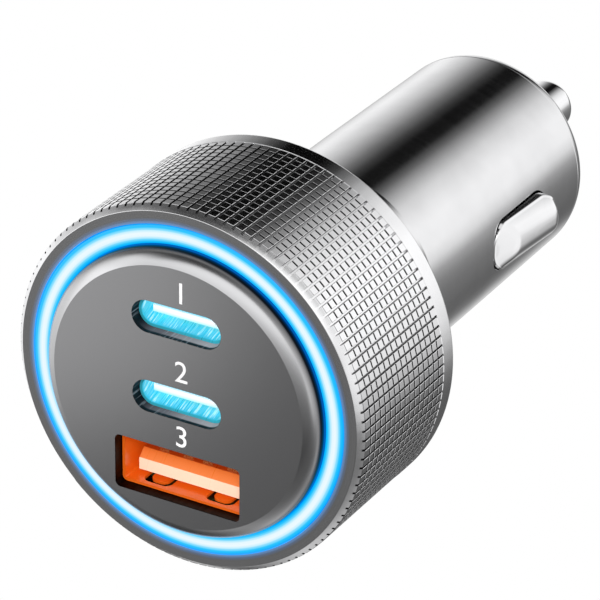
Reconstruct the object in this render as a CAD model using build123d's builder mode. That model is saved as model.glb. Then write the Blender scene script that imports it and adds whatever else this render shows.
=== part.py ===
"""Car charger plug: a knurled metal head with a lit ring and three charging ports, on a socket barrel.

The axis of the plug is Y. The face looks towards -Y and the spring tip points along +Y, with +Z up
through the row of ports. The origin is on the axis at the stop shoulder, where the barrel begins.
All sizes are in millimetres.
"""
import os
from math import cos, radians, sqrt

from build123d import *

os.makedirs("parts", exist_ok=True)

# Clearances
FIT = 0.05               # pressed or glued pieces, gap on each side
SLIP = 0.1               # pieces that slide together at assembly, gap on each side
RUN = 0.2                # moving pieces, gap on each side
STOP_GAP = 0.3           # moving piece to its stop at rest

# Head sleeve
HEAD_DIAMETER = 35.2
HEAD_LENGTH = 16.5
FRONT_BEVEL = 0.55       # between the bezel and the grip
REAR_EDGE_RADIUS = 1.2
REAR_WALL = 1.8
BEZEL_WIDTH = 1.25       # flat rim between the lit ring and the front bevel

# Knurl on the head
KNURL_COLUMNS = 80
KNURL_ROWS = 10
KNURL_DEPTH = 0.22
KNURL_RING_DEPTH = 0.18  # of the grooves that run round the head
KNURL_GROOVE = 0.34
KNURL_SETBACK = 0.35     # bezel plane to the first row
KNURL_LENGTH = 14.1

# Lit ring and face plate
RING_WIDTH = 1.85
RING_DEPTH = 2.0
PLATE_RISE = 1.6         # plate front in front of the bezel plane
PLATE_EDGE_RADIUS = 1.25
PLATE_WALL = 1.3
PLATE_SKIRT = 1.2

# Core frame that carries the boards
CORE_WALL = 0.9
CORE_LEDGE = 0.8
CORE_LEDGE_REACH = 2.3
BOARD_THICKNESS = 1.2
LIGHT_BOARD_THICKNESS = 1.0
LIGHT_BOARD_WIDTH = 2.3
LIGHT_CHIPS = 12
LIGHT_CHIP_HEIGHT = 0.6
LIGHT_CHIP_SIZE = 0.6
LIGHT_CHIP_LENGTH = 1.6
LIGHT_GAP = 0.2          # chip tops to the back of the lit ring

# Ports
PORT_RECESS = 1.1        # plate front to the shell mouths
UPPER_PORT_EDGE = 5.07   # top of the plate down to the upper slim shell
LOWER_PORT_Z = -0.5      # height of its middle from the axis
WIDE_PORT_EDGE = 3.45    # bottom of the plate up to the wide shell

SLIM_CAVITY_WIDTH = 8.35
SLIM_CAVITY_HEIGHT = 2.46
SLIM_CAVITY_DEPTH = 6.4
SLIM_SHELL = 0.25
SLIM_TONGUE_WIDTH = 6.7
SLIM_TONGUE_THICKNESS = 0.7
SLIM_TONGUE_EDGE = 0.17
SLIM_TONGUE_RECESS = 0.5   # shell mouth to the tongue's front
SLIM_PADS = 12
SLIM_PAD_PITCH = 0.5
SLIM_PAD_WIDTH = 0.28
SLIM_PAD_HEIGHT = 0.06
SLIM_PAD_LENGTH = 3.6

WIDE_CAVITY_WIDTH = 12.1
WIDE_CAVITY_HEIGHT = 4.6
WIDE_SHELL = 0.25
WIDE_CORNER = 0.5
WIDE_BASE = 1.6            # thickness of the moulded block at the port's floor
WIDE_TONGUE_WIDTH = 10.9
WIDE_TONGUE_THICKNESS = 1.85
WIDE_TONGUE_RECESS = 1.4   # shell mouth to the tongue's front
WIDE_TONGUE_BEVEL = 0.8
WIDE_TONGUE_DROP = 0.05    # tongue top below the middle of the cavity
WIDE_CONTACT_OFFSETS = (1.0, 3.5)
WIDE_CONTACT_WIDTH = 1.0
WIDE_CONTACT_THICKNESS = 0.2
WIDE_CONTACT_SETBACK = 1.1
WIDE_CONTACT_RISE = 0.6    # crest above the tongue
WIDE_CONTACT_CREST = 1.5   # front of a strip to its crest
WIDE_CONTACT_FOOT = 3.3    # front of a strip to where it lies flat
FINGER_OFFSET = 3.2
FINGER_WIDTH = 1.8
FINGER_LENGTH = 4.0
FINGER_SLOT = 0.5
FINGER_CORNER = 0.7
FINGER_SETBACK = 0.45

# Barrel
NECK_LENGTH = 8.7
NECK_DIAMETER = 25.8
STOP_DIAMETER = 22.0
BARREL_DIAMETER = 21.2
BARREL_LENGTH = 31.5
BARREL_PLAIN_LENGTH = 11.2
BARREL_DRAFT = 0.15        # radius lost between the plain stretch and the rounded end
BARREL_WALL = 1.0
BARREL_END_RADIUS = 1.5
BARREL_END_WALL = 1.4
FLANGE_THICKNESS = 1.5

# Side contacts and their slots
SLOT_CENTRE = 17.4
SLOT_LENGTH = 10.9
SLOT_WIDTH = 5.3
SLOT_CORNER = 2.3
CONTACT_RISE = 2.1         # crest line beyond the barrel, before its rear is rounded
CONTACT_SHEET = 0.5
CONTACT_RIM = 1.6          # flange beyond the slot, kept behind the barrel wall
CONTACT_RIM_SIDE = 0.65
CONTACT_FALL = 1.2         # crest at the rear down to the front of the sloping top
CONTACT_NOSE = 1.6         # radius of the contact's front
CONTACT_TAIL = 1.8         # radius of the contact's rear
CONTACT_SHOULDER = 2.0     # radius of the contact's long edges
LEAF_THICKNESS = 0.3
LEAF_WIDTH = 1.8
LEAF_SPAN = 7.4

# Insulating sleeve inside the barrel
SLEEVE_WALL = 0.9
SLEEVE_WEB = 0.8
SLEEVE_FRONT = 3.0
POCKET_SPARE = 0.4         # room left under a contact that is pressed in fully

# Tip, its spring and the insulating nose
TIP_DIAMETER = 5.3
TIP_EDGE_RADIUS = 1.2
TIP_REACH = 6.0            # tip beyond the nose at rest
TIP_TRAVEL = 3.0
TIP_COLLAR_DIAMETER = 7.4
TIP_COLLAR_THICKNESS = 1.5
NOSE_LENGTH = 7.0          # nose beyond the barrel's end
NOSE_BASE_DIAMETER = 11.2
NOSE_FRONT_DIAMETER = 7.8
NOSE_FRONT_WALL = 1.6
NOSE_HOLE_DIAMETER = 12.0
NOSE_FLANGE_THICKNESS = 1.0
NOSE_TUBE_WALL = 0.8
NOSE_EDGE_RADIUS = 0.5
SPRING_WIRE = 0.5
SPRING_TURNS = 6
SPRING_SPARE = 2.6         # room left between the turns when the tip is pressed fully
TERMINAL_THICKNESS = 1.2
TERMINAL_SETBACK = 0.6     # terminal inside the rear of the nose tube

# Main board and what stands on it
MAIN_BOARD_TAIL_WIDTH = 6.6
MAIN_BOARD_TAIL_SPARE = 2.4
INDUCTOR_DIAMETER = 8.0
INDUCTOR_HEIGHT = 3.9
INDUCTOR_CHEEK = 0.8
INDUCTOR_HUB_DIAMETER = 3.6
INDUCTOR_Y = 14.0
CAPACITOR_DIAMETER = 4.0
CAPACITOR_LENGTH = 8.5
CAPACITOR_EDGE = 0.3
CAPACITOR_Y = 2.0
CAPACITOR_Z = 4.2
CHIP_HEIGHT = 0.9
CHIP_SIZE = 4.0
PIN_SIZE = 0.5
PIN_LENGTH = 3.0
PIN_PITCH = 4.0
PIN_COUNT = 4

# Planes along the axis, worked out from the sizes above
HEAD_BACK = -NECK_LENGTH
BEZEL = HEAD_BACK - HEAD_LENGTH
PLATE_FRONT = BEZEL - PLATE_RISE
SHELL_MOUTH = PLATE_FRONT + PORT_RECESS
REAR_WALL_FACE = HEAD_BACK - REAR_WALL
FLANGE_FACE = REAR_WALL_FACE - FLANGE_THICKNESS
PORT_BOARD_BACK = FLANGE_FACE - CORE_LEDGE
PORT_BOARD_FRONT = PORT_BOARD_BACK - BOARD_THICKNESS
RING_BACK = BEZEL + RING_DEPTH
LIGHT_BOARD_FRONT = RING_BACK + LIGHT_CHIP_HEIGHT + LIGHT_GAP
LIGHT_BOARD_BACK = LIGHT_BOARD_FRONT + LIGHT_BOARD_THICKNESS

# Radii of the head's nested pieces
HEAD_RADIUS = HEAD_DIAMETER / 2
HEAD_BORE = HEAD_RADIUS - FRONT_BEVEL - BEZEL_WIDTH
RING_OUTER = HEAD_BORE - FIT
RING_INNER = RING_OUTER - RING_WIDTH
PLATE_RADIUS = RING_INNER - FIT
CORE_INNER = RING_OUTER - CORE_WALL
BOARD_RADIUS = CORE_INNER - FIT
NECK_RADIUS = NECK_DIAMETER / 2

# Heights of the upper and the wide port's middle from the axis, which keep to the plate's rim
UPPER_PORT_Z = PLATE_RADIUS - UPPER_PORT_EDGE - SLIM_SHELL - SLIM_CAVITY_HEIGHT / 2
WIDE_PORT_Z = WIDE_PORT_EDGE + WIDE_SHELL + WIDE_CAVITY_HEIGHT / 2 - PLATE_RADIUS

# Radii and planes of the barrel and the pieces in it
BARREL_RADIUS = BARREL_DIAMETER / 2
BARREL_BORE = BARREL_RADIUS - BARREL_WALL
BARREL_ROUND = BARREL_LENGTH - BARREL_END_RADIUS
BARREL_ROUND_RADIUS = BARREL_RADIUS - BARREL_DRAFT
END_WALL_FACE = BARREL_LENGTH - BARREL_END_WALL
END_CORNER = BARREL_END_RADIUS - BARREL_WALL
END_CORNER_Y = END_WALL_FACE - END_CORNER
NOSE_HOLE = NOSE_HOLE_DIAMETER / 2
SLEEVE_OUTER = BARREL_BORE - SLIP
SLEEVE_INNER = SLEEVE_OUTER - SLEEVE_WALL

# Planes of the tip
NOSE_FRONT = BARREL_LENGTH + NOSE_LENGTH
NOSE_FLANGE_BACK = END_CORNER_Y - NOSE_FLANGE_THICKNESS
SLEEVE_BACK = NOSE_FLANGE_BACK - FIT
TIP_END = NOSE_FRONT + TIP_REACH
TIP_RADIUS = TIP_DIAMETER / 2
TIP_COLLAR = TIP_COLLAR_DIAMETER / 2
CHAMBER = TIP_COLLAR + RUN
CHAMBER_FRONT = NOSE_FRONT - NOSE_FRONT_WALL
COLLAR_FRONT = CHAMBER_FRONT - STOP_GAP
COLLAR_BACK = COLLAR_FRONT - TIP_COLLAR_THICKNESS
TERMINAL_FRONT = COLLAR_BACK - TIP_TRAVEL - (SPRING_TURNS + 1) * SPRING_WIRE - SPRING_SPARE
TERMINAL_BACK = TERMINAL_FRONT - TERMINAL_THICKNESS
NOSE_TUBE_BACK = TERMINAL_BACK - TERMINAL_SETBACK

# Heights of a side contact, measured out from the axis
CONTACT_CREST = BARREL_RADIUS + CONTACT_RISE
CONTACT_RIM_HALF = SLOT_WIDTH / 2 + CONTACT_RIM_SIDE
RIM_TOP = sqrt(BARREL_BORE**2 - CONTACT_RIM_HALF**2) - STOP_GAP
RIM_BOTTOM = RIM_TOP - CONTACT_SHEET
POCKET_FLOOR = RIM_BOTTOM - CONTACT_RISE - POCKET_SPARE
HOLLOW_HALF = POCKET_FLOOR - SLEEVE_WEB
HALF_BOARD = BOARD_THICKNESS / 2


def facing(y):
    """Plane across the axis at y. Its sketch reads as seen from the front, and extrudes forward."""
    return Plane.XZ.offset(-y)


def save(builder, name):
    """Label a finished piece and write it under its own name."""
    builder.part.label = name
    export_step(builder.part, f"parts/{name}.step")


# Head sleeve: a turned shell with a bevelled front edge, a rear wall and a knurled grip
with BuildPart() as head_sleeve:
    with BuildSketch(Plane.XY):
        with BuildLine():
            Polyline(
                (HEAD_BORE, BEZEL),
                (HEAD_RADIUS, BEZEL),
                (HEAD_RADIUS, HEAD_BACK),
                (NECK_RADIUS + SLIP, HEAD_BACK),
                (NECK_RADIUS + SLIP, REAR_WALL_FACE),
                (HEAD_BORE, REAR_WALL_FACE),
                close=True,
            )
        make_face()
    revolve(axis=Axis.Y)
    rims = head_sleeve.edges().filter_by(GeomType.CIRCLE).group_by(SortBy.RADIUS)[-1].sort_by(Axis.Y)
    chamfer(rims[0], length=FRONT_BEVEL)
    rims = head_sleeve.edges().filter_by(GeomType.CIRCLE).group_by(SortBy.RADIUS)[-1].sort_by(Axis.Y)
    fillet(rims[-1], radius=REAR_EDGE_RADIUS)
    knurl_front = BEZEL + KNURL_SETBACK
    with BuildSketch(facing(knurl_front + KNURL_LENGTH)):
        with PolarLocations(HEAD_RADIUS, KNURL_COLUMNS):
            Rectangle(2 * KNURL_DEPTH, KNURL_GROOVE)
    extrude(amount=KNURL_LENGTH, mode=Mode.SUBTRACT)
    row_pitch = KNURL_LENGTH / KNURL_ROWS
    with BuildSketch(Plane.XY):
        for row in range(1, KNURL_ROWS):
            groove_y = knurl_front + row * row_pitch
            with BuildLine():
                Polyline(
                    (HEAD_RADIUS + KNURL_DEPTH, groove_y - KNURL_GROOVE),
                    (HEAD_RADIUS + KNURL_DEPTH, groove_y + KNURL_GROOVE),
                    (HEAD_RADIUS - KNURL_RING_DEPTH, groove_y),
                    close=True,
                )
            make_face()
    revolve(axis=Axis.Y, mode=Mode.SUBTRACT)
save(head_sleeve, "head_sleeve")

# Light ring: the clear moulded ring that glows round the face
with BuildPart() as light_ring:
    with BuildSketch(facing(RING_BACK)):
        Circle(RING_OUTER)
        Circle(RING_INNER, mode=Mode.SUBTRACT)
    extrude(amount=RING_DEPTH)
save(light_ring, "light_ring")


# Face plate: a raised disc with a rounded edge, a skirt behind it and one window for each port
slim_width = SLIM_CAVITY_WIDTH + 2 * SLIM_SHELL
slim_height = SLIM_CAVITY_HEIGHT + 2 * SLIM_SHELL
wide_width = WIDE_CAVITY_WIDTH + 2 * WIDE_SHELL
wide_height = WIDE_CAVITY_HEIGHT + 2 * WIDE_SHELL
with BuildPart() as face_plate:
    with BuildSketch(facing(LIGHT_BOARD_FRONT)):
        Circle(PLATE_RADIUS)
    extrude(amount=LIGHT_BOARD_FRONT - PLATE_FRONT)
    fillet(face_plate.edges().sort_by(Axis.Y)[0], radius=PLATE_EDGE_RADIUS)
    with BuildSketch(facing(LIGHT_BOARD_FRONT)):
        Circle(PLATE_RADIUS - PLATE_SKIRT)
    extrude(amount=LIGHT_BOARD_FRONT - PLATE_FRONT - PLATE_WALL, mode=Mode.SUBTRACT)
    with BuildSketch(facing(LIGHT_BOARD_FRONT)):
        with Locations((0, UPPER_PORT_Z), (0, LOWER_PORT_Z)):
            SlotOverall(slim_width + 2 * FIT, slim_height + 2 * FIT)
        with Locations((0, WIDE_PORT_Z)):
            RectangleRounded(wide_width + 2 * FIT, wide_height + 2 * FIT, WIDE_CORNER)
    extrude(amount=LIGHT_BOARD_FRONT - PLATE_FRONT, mode=Mode.SUBTRACT)
save(face_plate, "face_plate")

# Core frame: a moulded cup wall with one ledge for the ring of lamps and one for the port board
with BuildPart() as core_frame:
    with BuildSketch(Plane.XY):
        with BuildLine():
            Polyline(
                (CORE_INNER, RING_BACK),
                (RING_OUTER, RING_BACK),
                (RING_OUTER, FLANGE_FACE),
                (CORE_INNER - CORE_LEDGE_REACH, FLANGE_FACE),
                (CORE_INNER - CORE_LEDGE_REACH, PORT_BOARD_BACK),
                (CORE_INNER, PORT_BOARD_BACK),
                (CORE_INNER, LIGHT_BOARD_BACK + CORE_LEDGE),
                (CORE_INNER - CORE_LEDGE_REACH, LIGHT_BOARD_BACK + CORE_LEDGE),
                (CORE_INNER - CORE_LEDGE_REACH, LIGHT_BOARD_BACK),
                (CORE_INNER, LIGHT_BOARD_BACK),
                close=True,
            )
        make_face()
    revolve(axis=Axis.Y)
save(core_frame, "core_frame")

# Light board: a narrow ring of circuit board under the lit ring
with BuildPart() as light_board:
    with BuildSketch(facing(LIGHT_BOARD_BACK)):
        Circle(BOARD_RADIUS)
        Circle(BOARD_RADIUS - LIGHT_BOARD_WIDTH, mode=Mode.SUBTRACT)
    extrude(amount=LIGHT_BOARD_THICKNESS)
save(light_board, "light_board")

# Light chips: small lamps spaced round the light board, outside the plate's skirt
chip_circle = (PLATE_RADIUS + BOARD_RADIUS) / 2
with BuildPart() as light_chips:
    with BuildSketch(facing(LIGHT_BOARD_FRONT)):
        with PolarLocations(chip_circle, LIGHT_CHIPS):
            Rectangle(LIGHT_CHIP_SIZE, LIGHT_CHIP_LENGTH)
    extrude(amount=LIGHT_CHIP_HEIGHT)
save(light_chips, "light_chips")

# Port board: the round circuit board that the three port shells stand on
with BuildPart() as port_board:
    with BuildSketch(facing(PORT_BOARD_BACK)):
        Circle(BOARD_RADIUS)
    extrude(amount=BOARD_THICKNESS)
save(port_board, "port_board")

# Slim ports: each has a drawn steel shell, a moulded insert with a tongue, and rows of contact pads
slim_length = PORT_BOARD_FRONT - SHELL_MOUTH
slim_floor = SHELL_MOUTH + SLIM_CAVITY_DEPTH
slim_tongue_front = SHELL_MOUTH + SLIM_TONGUE_RECESS
pad_row = (SLIM_TONGUE_THICKNESS + SLIM_PAD_HEIGHT) / 2
for port, port_z in (("upper", UPPER_PORT_Z), ("lower", LOWER_PORT_Z)):
    with BuildPart() as slim_shell:
        with BuildSketch(facing(PORT_BOARD_FRONT)):
            with Locations((0, port_z)):
                SlotOverall(slim_width, slim_height)
                SlotOverall(SLIM_CAVITY_WIDTH, SLIM_CAVITY_HEIGHT, mode=Mode.SUBTRACT)
        extrude(amount=slim_length)
    save(slim_shell, f"{port}_slim_shell")

    with BuildPart() as slim_insert:
        with BuildSketch(facing(PORT_BOARD_FRONT)):
            with Locations((0, port_z)):
                SlotOverall(SLIM_CAVITY_WIDTH - 2 * FIT, SLIM_CAVITY_HEIGHT - 2 * FIT)
        extrude(amount=PORT_BOARD_FRONT - slim_floor)
        with BuildSketch(facing(slim_floor)):
            with Locations((0, port_z)):
                Rectangle(SLIM_TONGUE_WIDTH, SLIM_TONGUE_THICKNESS)
        extrude(amount=slim_floor - slim_tongue_front)
        tongue_face = slim_insert.faces().sort_by(Axis.Y)[0]
        fillet(tongue_face.edges(), radius=SLIM_TONGUE_EDGE)
    save(slim_insert, f"{port}_slim_insert")

    with BuildPart() as slim_pads:
        with BuildSketch(facing(slim_floor)):
            with Locations((0, port_z + pad_row), (0, port_z - pad_row)):
                with GridLocations(SLIM_PAD_PITCH, 0, SLIM_PADS, 1):
                    Rectangle(SLIM_PAD_WIDTH, SLIM_PAD_HEIGHT)
        extrude(amount=SLIM_PAD_LENGTH)
    save(slim_pads, f"{port}_slim_pads")

# Wide port shell: a folded sheet box with two sprung fingers in its roof and two in its floor
finger_front = SHELL_MOUTH + FINGER_SETBACK
finger_reach = FINGER_LENGTH + FINGER_CORNER
slot_width = FINGER_WIDTH + 2 * FINGER_SLOT
with BuildPart() as wide_shell:
    with BuildSketch(facing(PORT_BOARD_FRONT)):
        with Locations((0, WIDE_PORT_Z)):
            RectangleRounded(wide_width, wide_height, WIDE_CORNER)
            RectangleRounded(
                WIDE_CAVITY_WIDTH, WIDE_CAVITY_HEIGHT, WIDE_CORNER - WIDE_SHELL, mode=Mode.SUBTRACT
            )
    extrude(amount=PORT_BOARD_FRONT - SHELL_MOUTH)
    with BuildSketch(Plane.XY.offset(WIDE_PORT_Z)):
        for side in (-1, 1):
            with Locations((side * FINGER_OFFSET, finger_front)):
                RectangleRounded(slot_width, FINGER_LENGTH, FINGER_CORNER, align=(Align.CENTER, Align.MIN))
            with Locations((side * FINGER_OFFSET, finger_front + FINGER_SLOT)):
                RectangleRounded(
                    FINGER_WIDTH, finger_reach, FINGER_CORNER, align=(Align.CENTER, Align.MIN), mode=Mode.SUBTRACT
                )
    extrude(amount=wide_height, both=True, mode=Mode.SUBTRACT)
save(wide_shell, "wide_shell")

# Wide port insert: a moulded floor block with the contact tongue standing out of it
wide_floor = PORT_BOARD_FRONT - WIDE_BASE
wide_tongue_front = SHELL_MOUTH + WIDE_TONGUE_RECESS
wide_tongue_top = WIDE_PORT_Z - WIDE_TONGUE_DROP
with BuildPart() as wide_insert:
    with BuildSketch(facing(PORT_BOARD_FRONT)):
        with Locations((0, WIDE_PORT_Z)):
            Rectangle(WIDE_CAVITY_WIDTH - 2 * SLIP, WIDE_CAVITY_HEIGHT - 2 * SLIP)
    extrude(amount=WIDE_BASE)
    with BuildSketch(facing(wide_floor)):
        with Locations((0, wide_tongue_top)):
            Rectangle(WIDE_TONGUE_WIDTH, WIDE_TONGUE_THICKNESS, align=(Align.CENTER, Align.MAX))
    extrude(amount=wide_floor - wide_tongue_front)
    tongue_edges = wide_insert.faces().sort_by(Axis.Y)[0].edges().sort_by(Axis.Z)
    chamfer(tongue_edges[-1], length=WIDE_TONGUE_BEVEL)
save(wide_insert, "wide_insert")

# Wide port contacts: four sprung strips lying on the tongue, each with a raised front
wide_contact_front = wide_tongue_front + WIDE_CONTACT_SETBACK
strip_top = wide_tongue_top + WIDE_CONTACT_THICKNESS
with BuildPart() as wide_contacts:
    for offset in WIDE_CONTACT_OFFSETS:
        for side in (-1, 1):
            with BuildSketch(Plane.YZ.offset(side * offset - WIDE_CONTACT_WIDTH / 2)):
                with BuildLine():
                    Polyline(
                        (wide_floor, wide_tongue_top),
                        (wide_floor, strip_top),
                        (wide_contact_front + WIDE_CONTACT_FOOT, strip_top),
                        (wide_contact_front + WIDE_CONTACT_CREST, wide_tongue_top + WIDE_CONTACT_RISE),
                        (wide_contact_front, strip_top),
                        (wide_contact_front, wide_tongue_top),
                        close=True,
                    )
                make_face()
            extrude(amount=WIDE_CONTACT_WIDTH)
save(wide_contacts, "wide_contacts")

# Barrel shell: flange held in the head, tapered neck, stop shoulder, plain stretch and rounded end
round_in = END_CORNER * (1 - cos(radians(45)))
round_out = BARREL_END_RADIUS * (1 - cos(radians(45)))
with BuildPart() as barrel_shell:
    with BuildSketch(Plane.XY):
        with BuildLine():
            Polyline(
                (NOSE_HOLE, END_WALL_FACE),
                (NOSE_HOLE, BARREL_LENGTH),
                (BARREL_ROUND_RADIUS - BARREL_END_RADIUS, BARREL_LENGTH),
            )
            ThreePointArc(
                (BARREL_ROUND_RADIUS - BARREL_END_RADIUS, BARREL_LENGTH),
                (BARREL_ROUND_RADIUS - round_out, BARREL_LENGTH - round_out),
                (BARREL_ROUND_RADIUS, BARREL_ROUND),
            )
            Polyline(
                (BARREL_ROUND_RADIUS, BARREL_ROUND),
                (BARREL_RADIUS, BARREL_PLAIN_LENGTH),
                (BARREL_RADIUS, 0),
                (STOP_DIAMETER / 2, 0),
                (NECK_RADIUS, HEAD_BACK),
                (NECK_RADIUS, REAR_WALL_FACE),
                (RING_OUTER, REAR_WALL_FACE),
                (RING_OUTER, FLANGE_FACE),
                (BARREL_BORE, FLANGE_FACE),
                (BARREL_BORE, END_CORNER_Y),
            )
            ThreePointArc(
                (BARREL_BORE, END_CORNER_Y),
                (BARREL_BORE - round_in, END_WALL_FACE - round_in),
                (BARREL_BORE - END_CORNER, END_WALL_FACE),
            )
            Line((BARREL_BORE - END_CORNER, END_WALL_FACE), (NOSE_HOLE, END_WALL_FACE))
        make_face()
    revolve(axis=Axis.Y)
    with BuildSketch(Plane.YZ):
        with Locations((SLOT_CENTRE, 0)):
            RectangleRounded(SLOT_LENGTH, SLOT_WIDTH, SLOT_CORNER)
    extrude(amount=BARREL_DIAMETER, both=True, mode=Mode.SUBTRACT)
save(barrel_shell, "barrel_shell")

# Insulating sleeve: a moulded tube in the barrel, with a flat pocket on each side for a contact
pocket_length = SLOT_LENGTH + 2 * CONTACT_RIM + 2 * RUN
pocket_width = 2 * CONTACT_RIM_HALF + 2 * RUN
with BuildPart() as insulating_sleeve:
    with BuildSketch(facing(SLEEVE_BACK)):
        Circle(SLEEVE_OUTER)
    extrude(amount=SLEEVE_BACK - SLEEVE_FRONT)
    with BuildSketch(facing(SLEEVE_BACK)):
        Circle(SLEEVE_INNER)
        Rectangle(2 * HOLLOW_HALF, 2 * SLEEVE_INNER, mode=Mode.INTERSECT)
    extrude(amount=SLEEVE_BACK - SLEEVE_FRONT, mode=Mode.SUBTRACT)
    for side in (-1, 1):
        with BuildSketch(Plane.YZ.offset(side * POCKET_FLOOR)):
            with Locations((SLOT_CENTRE, 0)):
                Rectangle(pocket_length, pocket_width)
        extrude(amount=side * BARREL_RADIUS, mode=Mode.SUBTRACT)
save(insulating_sleeve, "insulating_sleeve")


def bulge(inset, base):
    """Form of a side contact, drawn in from the outside by inset and standing up from base.

    Three outlines meet in it: the plan in the slot, the long profile with its sloping top, and the section.
    """
    length = SLOT_LENGTH - 2 * RUN - 2 * inset
    width = SLOT_WIDTH - 2 * RUN - 2 * inset
    crest = CONTACT_CREST - inset
    front = SLOT_CENTRE - length / 2
    back = SLOT_CENTRE + length / 2
    with BuildPart(mode=Mode.PRIVATE) as form:
        with BuildSketch(Plane.YZ.offset(base)):
            with Locations((SLOT_CENTRE, 0)):
                RectangleRounded(length, width, SLOT_CORNER - RUN - inset)
        extrude(amount=crest - base)
        with BuildSketch(Plane.XY.offset(-width)) as profile:
            with BuildLine():
                Polyline((base, front), (crest - CONTACT_FALL, front), (crest, back), (base, back), close=True)
            make_face()
            fillet(profile.vertices().sort_by(Axis.X)[-2], radius=CONTACT_NOSE - inset)
            fillet(profile.vertices().sort_by(Axis.X)[-1], radius=CONTACT_TAIL - inset)
        extrude(amount=2 * width, mode=Mode.INTERSECT)
        with BuildSketch(facing(back)) as section:
            with Locations((base, 0)):
                Rectangle(crest - base, width, align=(Align.MIN, Align.CENTER))
            fillet(section.vertices().group_by(Axis.X)[-1], radius=CONTACT_SHOULDER - inset)
        extrude(amount=length, mode=Mode.INTERSECT)
    return form.part


# Side contacts: pressed sheet pads that stand out through the barrel's slots
contact_form = bulge(0, RIM_BOTTOM)
contact_hollow = bulge(CONTACT_SHEET, RIM_BOTTOM)
with BuildPart() as right_contact:
    with BuildSketch(Plane.YZ.offset(RIM_BOTTOM)):
        with Locations((SLOT_CENTRE, 0)):
            RectangleRounded(SLOT_LENGTH + 2 * CONTACT_RIM, 2 * CONTACT_RIM_HALF, SLOT_CORNER)
    extrude(amount=CONTACT_SHEET)
    add(contact_form)
    add(contact_hollow, mode=Mode.SUBTRACT)
save(right_contact, "right_contact")

with BuildPart() as left_contact:
    add(mirror(right_contact.part, about=Plane.YZ, mode=Mode.PRIVATE))
save(left_contact, "left_contact")

# Leaf springs: bowed strips between the sleeve's pockets and the contacts
leaf_foot = POCKET_FLOOR
leaf_crest = CONTACT_CREST - CONTACT_FALL / 2 - CONTACT_SHEET - RUN
with BuildPart() as right_leaf:
    with BuildSketch(Plane.XY.offset(-LEAF_WIDTH / 2)):
        with BuildLine():
            outer = ThreePointArc(
                (leaf_foot, SLOT_CENTRE - LEAF_SPAN / 2),
                (leaf_crest, SLOT_CENTRE),
                (leaf_foot, SLOT_CENTRE + LEAF_SPAN / 2),
            )
            inner = ThreePointArc(
                (leaf_foot, SLOT_CENTRE - LEAF_SPAN / 2 + LEAF_THICKNESS),
                (leaf_crest - LEAF_THICKNESS, SLOT_CENTRE),
                (leaf_foot, SLOT_CENTRE + LEAF_SPAN / 2 - LEAF_THICKNESS),
            )
            Line(outer @ 0, inner @ 0)
            Line(outer @ 1, inner @ 1)
        make_face()
    extrude(amount=LEAF_WIDTH)
save(right_leaf, "right_leaf")

with BuildPart() as left_leaf:
    add(mirror(right_leaf.part, about=Plane.YZ, mode=Mode.PRIVATE))
save(left_leaf, "left_leaf")

# Nose: the insulating plug in the barrel's end, with a chamber for the tip and its spring
nose_stem = NOSE_HOLE - FIT
nose_flange = SLEEVE_OUTER
nose_tube = CHAMBER + NOSE_TUBE_WALL
with BuildPart() as nose:
    with BuildSketch(Plane.XY):
        with BuildLine():
            Polyline(
                (TIP_RADIUS + RUN, NOSE_FRONT),
                (NOSE_FRONT_DIAMETER / 2, NOSE_FRONT),
                (NOSE_BASE_DIAMETER / 2, BARREL_LENGTH),
                (nose_stem, BARREL_LENGTH),
                (nose_stem, END_WALL_FACE - FIT),
                (nose_flange, END_CORNER_Y),
                (nose_flange, NOSE_FLANGE_BACK),
                (nose_tube, NOSE_FLANGE_BACK),
                (nose_tube, NOSE_TUBE_BACK),
                (CHAMBER, NOSE_TUBE_BACK),
                (CHAMBER, CHAMBER_FRONT),
                (TIP_RADIUS + RUN, CHAMBER_FRONT),
                close=True,
            )
        make_face()
    revolve(axis=Axis.Y)
    nose_rims = nose.edges().filter_by(GeomType.CIRCLE).filter_by_position(Axis.Y, NOSE_FRONT, NOSE_FRONT)
    fillet(nose_rims.sort_by(SortBy.RADIUS)[-1], radius=NOSE_EDGE_RADIUS)
save(nose, "nose")

# Tip: the sprung centre contact, a turned pin with a collar that the nose keeps in
with BuildPart() as tip:
    with BuildSketch(Plane.XY):
        with BuildLine():
            Polyline(
                (0, COLLAR_BACK),
                (TIP_COLLAR, COLLAR_BACK),
                (TIP_COLLAR, COLLAR_FRONT),
                (TIP_RADIUS, COLLAR_FRONT),
                (TIP_RADIUS, TIP_END),
                (0, TIP_END),
                close=True,
            )
        make_face()
    revolve(axis=Axis.Y)
    fillet(tip.edges().filter_by(GeomType.CIRCLE).sort_by(Axis.Y)[-1], radius=TIP_EDGE_RADIUS)
save(tip, "tip")

# Tip spring: a round-wire coil between the terminal and the tip's collar
coil_radius = CHAMBER - RUN - SPRING_WIRE / 2
coil_length = COLLAR_BACK - TERMINAL_FRONT - SPRING_WIRE
coil_start = TERMINAL_FRONT + SPRING_WIRE / 2
with BuildPart() as tip_spring:
    with BuildLine():
        coil = Helix(
            pitch=coil_length / SPRING_TURNS,
            height=coil_length,
            radius=coil_radius,
            center=(0, coil_start, 0),
            direction=(0, 1, 0),
        )
    with BuildSketch(Plane(origin=coil @ 0, z_dir=coil % 0)):
        Circle(SPRING_WIRE / 2)
    sweep(path=coil, is_frenet=True)
save(tip_spring, "tip_spring")

# Terminal: a plated disc in the nose tube that joins the spring to the main board
with BuildPart() as tip_terminal:
    with BuildSketch(facing(TERMINAL_FRONT)):
        Circle(CHAMBER - FIT)
    extrude(amount=TERMINAL_THICKNESS)
save(tip_terminal, "tip_terminal")

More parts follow.
